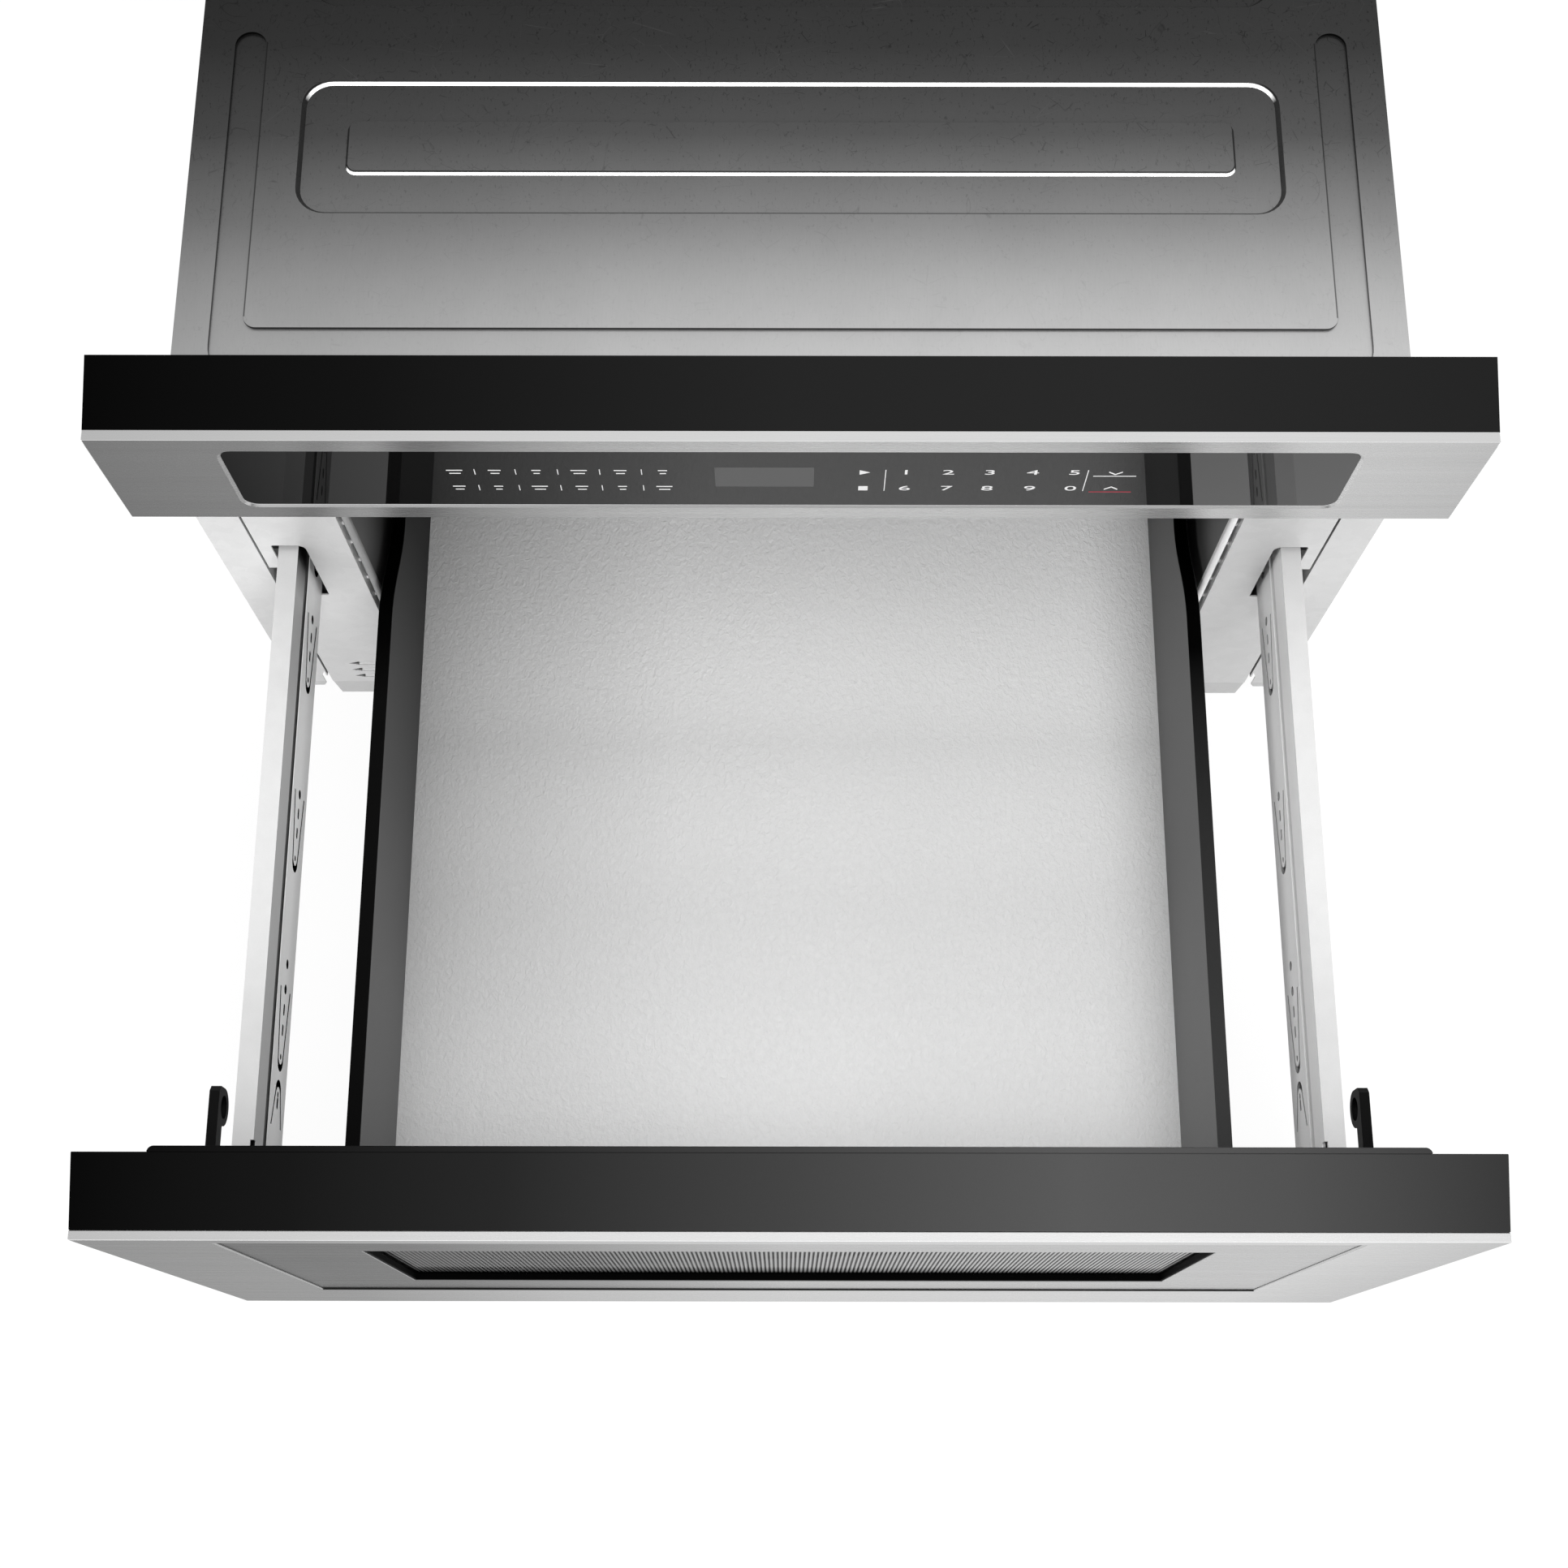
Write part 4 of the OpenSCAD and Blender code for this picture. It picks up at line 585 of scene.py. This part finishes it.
# Painted light and shade: the black box's tones run from left to right, and the steel face carries a
# painted reflection, darkest at the left, with painted light on its side chamfers.
control_black = black_moulding("control_black",
                               ((0.0, 2), (0.2, 10), (0.5, 26), (0.75, 29), (1.0, 25)))
control_steel = stainless(
    "control_steel",
    stops=((0.0, 124), (0.12, 140), (0.2, 180), (0.35, 222),
           (0.5, 232), (0.65, 234), (0.85, 214), (1.0, 194)),
    rim_stops=((0.0, 176), (0.25, 198), (0.5, 208), (0.8, 210), (1.0, 203)),
    rim_z=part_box("control_face")[1].z, ledge=190, glare=0.5, painted_sides=0.6)
softened("control_frame", control_black, "cabinet", edge=moulded_edge)
softened("control_face", control_steel, "cabinet", edge=control_edge,
         sharpest=50, crease=20)
dress(smoked_glass(), "control_glass")
dress(lens(), "display_window")


# The printed marks stand a hair proud of the glass: bars for the key names, plain digits,
# thin dividers, and arrows for the drawer's two keys, one with a white and one with a red rule.
glass_low, glass_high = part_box("control_glass")
upper_row_drop = 0.0228
row_pitch = 0.0160
ink_t = 0.00006
ink_y = glass_low.y - ink_t
upper_z = glass_high.z - upper_row_drop
lower_z = upper_z - row_pitch
middle_z = (upper_z + lower_z) / 2


def glowing_ink(name, colour):
    material, start = new_finish(name)
    wear = noise(start, (3000, 3000, 3000), detail=1)
    # Painted light: the ink glows a little, though it is no lamp.
    surface(start, Base__Color=tone(start, colour, wear, 0.06), Roughness=0.5,
            Emission__Color=colour, Emission__Strength=0.25)
    return material


white_ink = glowing_ink("white_ink", grey(205))
red_ink = glowing_ink("red_ink", (0.32, 0.03, 0.05, 1))


def prisms(name, ends, material):
    """An object of straight prisms, each from the outline of one end to that of the other."""
    work = bmesh.new()
    for near, far in ends:
        near = [work.verts.new(corner) for corner in near]
        far = [work.verts.new(corner) for corner in far]
        work.faces.new(near)
        work.faces.new(far[::-1])
        for i in range(len(near)):
            k = (i + 1) % len(near)
            work.faces.new((near[k], near[i], far[i], far[k]))
    bmesh.ops.recalc_face_normals(work, faces=work.faces)
    mesh = bpy.data.meshes.new(name)
    work.to_mesh(mesh)
    work.free()
    mesh.materials.append(material)
    return add(name, mesh)


def printed(name, outlines, material):
    """Thin printed shapes on the glass, each an outline in X and Z."""
    ends = [([(x, ink_y, z) for x, z in outline], [(x, ink_y + ink_t, z) for x, z in outline])
            for outline in outlines]
    piece = prisms(name, ends, material)
    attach(piece, "cabinet")


def bar(x, z, w, h):
    """A bar's outline about its middle."""
    return [(x - w / 2, z - h / 2), (x + w / 2, z - h / 2),
            (x + w / 2, z + h / 2), (x - w / 2, z + h / 2)]


key_x = (-0.1480, -0.1304, -0.1120, -0.0932, -0.0750, -0.0563)
bar_w = 0.0072
bar_h = 0.0008
bar_gap = 0.0030
lower_bar_share = 0.7
shorter_share = 0.22
tick_w = 0.0004
tick_h = 0.0052
key_bars = []
for row, row_z in enumerate((upper_z, lower_z)):
    for i, x in enumerate(key_x):
        width = bar_w * (1 - shorter_share * ((i + row) % 3))
        key_bars.append(bar(x, row_z + bar_gap / 2, width, bar_h))
        key_bars.append(bar(x, row_z - bar_gap / 2, width * lower_bar_share, bar_h))
    for a, b in zip(key_x, key_x[1:]):
        key_bars.append(bar((a + b) / 2, row_z, tick_w, tick_h))
printed("key_bars", key_bars, white_ink)

start_x = 0.0325
start_back = 0.0020
start_point = 0.0026
start_h = 0.0044
stop_w = 0.0042
start_mark = [(start_x - start_back, upper_z - start_h / 2), (start_x + start_point, upper_z),
              (start_x - start_back, upper_z + start_h / 2)]
stop_mark = bar(start_x, lower_z, stop_w, stop_w)
printed("start_and_stop_marks", [start_mark, stop_mark], white_ink)

divider_x = (0.0420, 0.1311)
divider_h = 0.021
printed("dividers", [bar(x, middle_z, tick_w, divider_h) for x in divider_x], white_ink)

digit_x = (0.0510, 0.0697, 0.0880, 0.1070, 0.1253)
digit_h = 0.0044
digit_h_share = 0.7
digit_stretch = 1.85
for row_z, digits in ((upper_z, "12345"), (lower_z, "67890")):
    for x, digit in zip(digit_x, digits):
        text = bpy.data.curves.new("figure_" + digit, "FONT")
        text.body = digit
        text.size = digit_h / digit_h_share
        text.align_x = "CENTER"
        text.align_y = "CENTER"
        text.extrude = ink_t / 2
        pattern = add("figure_" + digit, text)
        shape = final_mesh(pattern)
        bpy.data.objects.remove(pattern)
        for corner in shape.vertices:
            across, up, proud = corner.co
            corner.co = (x + across * digit_stretch, ink_y + ink_t / 2 - proud, row_z + up)
        shape.materials.clear()
        shape.materials.append(white_ink)
        figure = add("digit_" + digit, shape)
        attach(figure, "cabinet")

arrow_x = 0.1434
arrow_w = 0.0060
arrow_h = 0.0024
arrow_t = 0.0010
rule_w = 0.0190
rule_h = 0.0006
rule_drop = 0.0034


def chevron(x, z, way):
    """A wide arrow head that points down for -1 or up for 1."""
    low, high = z - way * arrow_h / 2, z + way * arrow_h / 2
    left, right = x - arrow_w / 2, x + arrow_w / 2
    rise = way * arrow_t
    return [(left, low), (x, high), (right, low), (right, low + rise), (x, high + rise),
            (left, low + rise)]


open_rule = bar(arrow_x, upper_z - rule_drop, rule_w, rule_h)
close_rule = bar(arrow_x, lower_z - rule_drop, rule_w, rule_h)
arrows = [chevron(arrow_x, upper_z, -1), chevron(arrow_x, lower_z, 1)]
printed("drawer_arrows", arrows + [open_rule], white_ink)
printed("close_rule", [close_rule], red_ink)


# The telescopic slides: plated channels in the body, rails on the drawer with tongues
# lanced in their webs, and ball cages that run between them.
web_h = 0.0326
groove_h = 0.0080
tongue_foot = 0.0020
tongue_head = 0.0315
tongue_depth = 0.0020
web_skin = 0.0003
outer_wall = 0.0008
top_skin = 0.0004
top_wall = 0.0010
drawer_front_y = -0.33
drawer_back_y = 0.05
hood_y = -0.024
hood_fade = 0.02


def plated_rail(name, rail, tops, web, lip, inside, turn=0.0003, hood_shadow=0.0, shine=0.3):
    """The finish of one rail, with painted light and shade in the tones of its top from front to
    back, web, lip over the groove, and inside.

    The lip's tone takes over from the web's over a turn, and a painted shadow darkens it under
    the front plate's hood. The cut walls of the tongues are painted darker than the inside."""
    material, start = new_finish(name)
    low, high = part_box(rail)
    inner_face = min(abs(low.x), abs(high.x))
    outer_face = max(abs(low.x), abs(high.x))
    y = place(start, "Y")
    z = place(start, "Z")
    off_centre = place(start, "X").math("ABSOLUTE")
    behind_web = past(off_centre, inner_face + web_skin)
    hidden = behind_web * short_of(off_centre, outer_face - outer_wall)
    hidden = hidden * short_of(z, high.z - top_wall)
    cut_walls = 1 - sideways(start, over=0.6, fade=0.1)
    cut_walls = cut_walls * short_of(off_centre, inner_face + tongue_depth)
    cut_walls = cut_walls * past(z, low.z + tongue_foot) * short_of(z, low.z + tongue_head)
    over_groove = past(z, low.z + web_h + groove_h - turn, turn)
    # Painted shadow under the hood, and painted shade inside the channel and on the cut walls.
    lip_tone = between(start, past(y, hood_y, hood_fade) * hood_shadow, grey(lip), grey(16))
    side = between(start, over_groove, grey(web), lip_tone)
    top = run(start, y, drawer_front_y, drawer_back_y, tops)
    on_top = behind_web.math("MAXIMUM", past(z, high.z - top_skin))
    mottle = noise(start, (110, 110, 110), detail=4)
    fine = noise(start, (1300, 1300, 1300), detail=2)
    colour = tone(start, tone(start, between(start, on_top, side, top), mottle, 0.06), fine, 0.03)
    colour = between(start, hidden, colour, grey(inside))
    colour = between(start, cut_walls, colour, grey(inside * 0.8))
    surface(start, Base__Color=colour, Roughness=mottle * 0.15 + 0.36, Metallic=shine,
            Normal=bumps(start, fine, 0.00003))
    return material


rail_edge = 0.00015
# The two drawer rails are one plated steel with different painted light and shade: the left is lit
# on its web, with a shaded lip and a dark inside; the right is lit on its lip, with a light inside.
left_rail_steel = plated_rail("left_rail_steel", "left_drawer_rail",
                              tops=((0.0, 205), (0.3, 209), (1.0, 205)),
                              web=254, lip=196, inside=6, hood_shadow=1.0)
right_rail_steel = plated_rail("right_rail_steel", "right_drawer_rail",
                               tops=((0.0, 218), (0.25, 204), (0.5, 197), (1.0, 189)),
                               web=250, lip=255, inside=222, turn=0.009, shine=0.05)
fixed_slide_steel = plated_rail("fixed_slide_steel", "right_fixed_slide",
                                tops=((0.0, 200), (1.0, 200)), web=200, lip=200, inside=120)
softened("left_drawer_rail", left_rail_steel, "drawer", edge=rail_edge)
softened("right_drawer_rail", right_rail_steel, "drawer", edge=rail_edge)
dress(fixed_slide_steel, "left_fixed_slide", "right_fixed_slide")
dress(plate, "left_ball_cage", "right_ball_cage")


# The latch hooks and the switch housings that they enter: glass-filled black nylon hooks
# on the door's back, and pale moulded housings with two switches each in the body.
def nylon(name, level, roughness, gloss):
    material, start = new_finish(name)
    skin = noise(start, (1200, 1200, 1200), detail=2)
    surface(start, Base__Color=tone(start, grey(level), skin, 0.06), Roughness=roughness,
            Specular__IOR__Level=gloss, Normal=bumps(start, skin, 0.00002))
    return material


hook_edge = 0.0009
black_nylon = nylon("black_nylon", level=9, roughness=0.45, gloss=0.06)
pale_nylon = nylon("pale_nylon", level=224, roughness=0.45, gloss=0.3)
for hook in ("left_latch_hook", "right_latch_hook"):
    softened(hook, black_nylon, "drawer", edge=hook_edge, steps=3)
dress(pale_nylon, "left_latch_switch", "right_latch_switch")


# The drawer front: a moulded black frame with its raised back, a brushed stainless border,
# and an inset stainless panel round the window.
face_edge = 0.0006
door_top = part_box("door_face")[1].z
# Painted light and shade: the black frame's tones run from left to right, and the steel border and
# the inset panel carry a painted reflection, darkest at the left.
door_rim = ((0.0, 184), (0.25, 207), (0.5, 222), (0.75, 229), (1.0, 217))
door_black = black_moulding("door_black", ((0.0, 3), (0.15, 14), (0.3, 27), (0.5, 49),
                                           (0.7, 66), (0.85, 60), (1.0, 41)))
door_steel = stainless(
    "door_steel",
    stops=((0.0, 108), (0.12, 128), (0.3, 206), (0.5, 238), (0.7, 245), (0.9, 244), (1.0, 218)),
    rim_stops=door_rim, rim_z=door_top, ledge=40, glare=0.55)
panel_steel = stainless(
    "panel_steel",
    stops=((0.0, 50), (0.14, 56), (0.22, 84), (0.35, 172), (0.5, 238), (0.75, 244), (1.0, 244)),
    rim_stops=door_rim, rim_z=door_top, ledge=120, glare=0.42)
softened("door_frame", door_black, "drawer", edge=moulded_edge)
softened("door_back", door_black, "drawer", edge=moulded_edge)
softened("door_face", door_steel, "drawer", edge=face_edge)
softened("door_panel", panel_steel, "drawer", edge=sheet_fold)


# The window: tinted glass before and behind a dark screen, which has fine upright bars of
# folded metal on its front. Both metals are painted lighter to the right, and a painted shadow
# sinks them to black beside the window's rim and towards its foot.
screen_low, screen_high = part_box("window_screen")
rim_fade = 0.004
foot_fade = 0.026
foot_curve = 0.7


def tinted_glass():
    material, start = new_finish("tinted_glass")
    dust = noise(start, (900, 900, 900), detail=2)
    surface(start, Base__Color=tone(start, grey(16), dust, 0.1), Roughness=dust * 0.03 + 0.04,
            Alpha=0.14, Specular__IOR__Level=0.06)
    return material


def window_metal(name, stops):
    material, start = new_finish(name)
    x = place(start, "X")
    film = noise(start, (500, 500, 500), detail=2)
    # Painted shadow: beside the rim and near the foot the metal sinks to black; across it, painted
    # light makes it lighter to the right.
    off_rim = short_of(x.math("ABSOLUTE"), screen_high.x, rim_fade)
    off_foot = past(place(start, "Z"), screen_low.z, foot_fade) ** foot_curve
    across = run(start, x, screen_low.x, screen_high.x, stops)
    colour = between(start, off_rim * off_foot, grey(3), across)
    surface(start, Base__Color=tone(start, colour, film, 0.06), Roughness=0.6,
            Specular__IOR__Level=0.05, Normal=bumps(start, film, 0.00001))
    return material


dress(tinted_glass(), "window_glass", "inner_window")
dress(window_metal("dark_screen", ((0.0, 12), (0.25, 20), (0.5, 38), (1.0, 46))), "window_screen")

window_bar_pitch = 0.0021
window_bar_w = 0.0011
window_bar_t = 0.00012
crown_share = 0.6
bar_outline = ((-1, 0), (-crown_share, 1), (crown_share, 1), (1, 0))
bar_count = int((screen_high.x - screen_low.x) / window_bar_pitch)
bar_ends = []
for i in range(bar_count):
    x = (i - (bar_count - 1) / 2) * window_bar_pitch
    outline = [(x + a * window_bar_w / 2, screen_low.y - b * window_bar_t) for a, b in bar_outline]
    bar_ends.append([[(*corner, z) for corner in outline] for z in (screen_low.z, screen_high.z)])
screen_bars = window_metal("screen_bars",
                           ((0.0, 92), (0.25, 114), (0.5, 162), (0.75, 174), (1.0, 176)))
window_bars = prisms("window_bars", bar_ends, screen_bars)
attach(window_bars, "drawer")


# The drawer basin: a floor of pale textured glass ceramic between dark moulded walls,
# whose top edges are black and sweep down towards the rear.
floor_back_y = 0.09
floor_side_x = 0.215


def grained_floor():
    material, start = new_finish("grained_floor")
    x = place(start, "X")
    y = place(start, "Y")
    folds = noise(start, (420, 300, 300), detail=5, roughness=0.6, distortion=0.6)
    broad = noise(start, (6, 6, 6), detail=2)
    # Painted light and shade: the floor's tones run from front to rear and across, darkest at its
    # left rear, where the walls and the control panel shade it.
    along = run(start, y, drawer_front_y, floor_back_y,
                ((0.0, 255), (0.14, 255), (0.29, 237), (0.45, 230), (0.64, 216), (0.81, 239),
                 (1.0, 255)))
    near = run(start, x, -floor_side_x, floor_side_x,
               ((0.0, 222), (0.1, 240), (0.35, 254), (1.0, 255)))
    far = run(start, x, -floor_side_x, floor_side_x,
              ((0.0, 172), (0.1, 205), (0.35, 252), (1.0, 255)))
    rearward = (y - drawer_front_y) / (floor_back_y - drawer_front_y)
    colour = times(start, along, between(start, rearward, near, far))
    colour = tone(start, tone(start, colour, folds, 0.08), broad, 0.03)
    surface(start, Base__Color=colour, Roughness=folds * 0.2 + 0.45, Specular__IOR__Level=0.25,
            Normal=bumps(start, folds, 0.0010, 0.8))
    return material


def wall_moulding(name, side_stops, top_stops):
    material, start = new_finish(name)
    y = place(start, "Y")
    skin = noise(start, (900, 900, 900), detail=2)
    # Painted light and shade: the sides and the tops run in tones from front to rear.
    sides = run(start, y, drawer_front_y, drawer_back_y, side_stops)
    tops = run(start, y, drawer_front_y, drawer_back_y, top_stops)
    colour = between(start, facing(start, (0, 0, 1), over=0.5, fade=0.2), sides, tops)
    surface(start, Base__Color=tone(start, colour, skin, 0.05), Roughness=0.5,
            Specular__IOR__Level=0.03, Normal=bumps(start, skin, 0.00002))
    return material


# The left and right walls are one moulding with different painted light and shade.
left_walls = wall_moulding("left_wall",
                           side_stops=((0.0, 118), (0.3, 110), (0.6, 82), (1.0, 46)),
                           top_stops=((0.0, 10), (0.68, 9), (0.78, 1), (1.0, 0)))
right_walls = wall_moulding("right_wall",
                            side_stops=((0.0, 132), (0.5, 109), (1.0, 112)),
                            top_stops=((0.0, 66), (0.4, 44), (0.66, 24), (0.76, 1), (1.0, 0)))
dress(grained_floor(), "basin_floor")
softened("left_basin_wall", left_walls, "drawer", edge=moulded_edge)
softened("right_basin_wall", right_walls, "drawer", edge=moulded_edge)
softened("rear_basin_wall", left_walls, "drawer", edge=moulded_edge)


# The drawer's drive: nylon racks and pinions, a turned cross shaft in nylon bearings, and
# the motor with its brass gear, which meshes with the one on the shaft.
def turned_metal(name, colour, roughness):
    material, start = new_finish(name)
    lathe = noise(start, (80, 1800, 1800), detail=2)
    surface(start, Base__Color=tone(start, colour, lathe, 0.1), Metallic=1.0,
            Roughness=lathe * 0.15 + roughness, Normal=bumps(start, lathe, 0.00002))
    return material


turned_steel = turned_metal("turned_steel", grey(190), 0.2)
motor_can = turned_metal("motor_can", grey(92), 0.35)
dress(turned_metal("cut_brass", (0.5, 0.34, 0.12, 1), 0.25), "motor_gear", "shaft_gear")
dress(turned_steel, "cross_shaft")
dress(pale_nylon, "left_rack", "right_rack", "left_pinion", "right_pinion", "shaft_bearings")
dress(motor_can, "drive_motor")


# The works in the body: magnetron, supply, fan, boards, lamp, thermal cut-outs, cord gland
# and screws, each a bought-in part in its own finish.
def circuit_board():
    material, start = new_finish("circuit_board")
    tracks = start.node("TexVoronoi", {"distance": "MANHATTAN"},
                        {"Vector": start.node("TexCoord", out="Object"), "Scale": 160.0},
                        out="Distance")
    surface(start, Base__Color=between(start, tracks, (0.02, 0.12, 0.05, 1), (0.05, 0.26, 0.12, 1)),
            Roughness=0.35, Normal=bumps(start, tracks, 0.0001))
    return material


def wound_core():
    material, start = new_finish("wound_core")
    turns = noise(start, (60, 900, 60), detail=2)
    surface(start, Base__Color=between(start, turns, (0.12, 0.05, 0.02, 1), (0.36, 0.16, 0.06, 1)),
            Roughness=0.4, Normal=bumps(start, turns, 0.0002))
    return material


dress(motor_can, "magnetron", "stirrer_motor", "fan_motor")
dress(turned_steel, "cabinet_screws", "inverter_heat_sink")
dress(circuit_board(), "control_board", "inverter_board", "filter_board")
dress(wound_core(), "inverter_transformer")
dress(black_nylon, "fan_housing", "fan_wheel", "thermal_cutouts", "cord_gland")
dress(pale_nylon, "cavity_lamp")
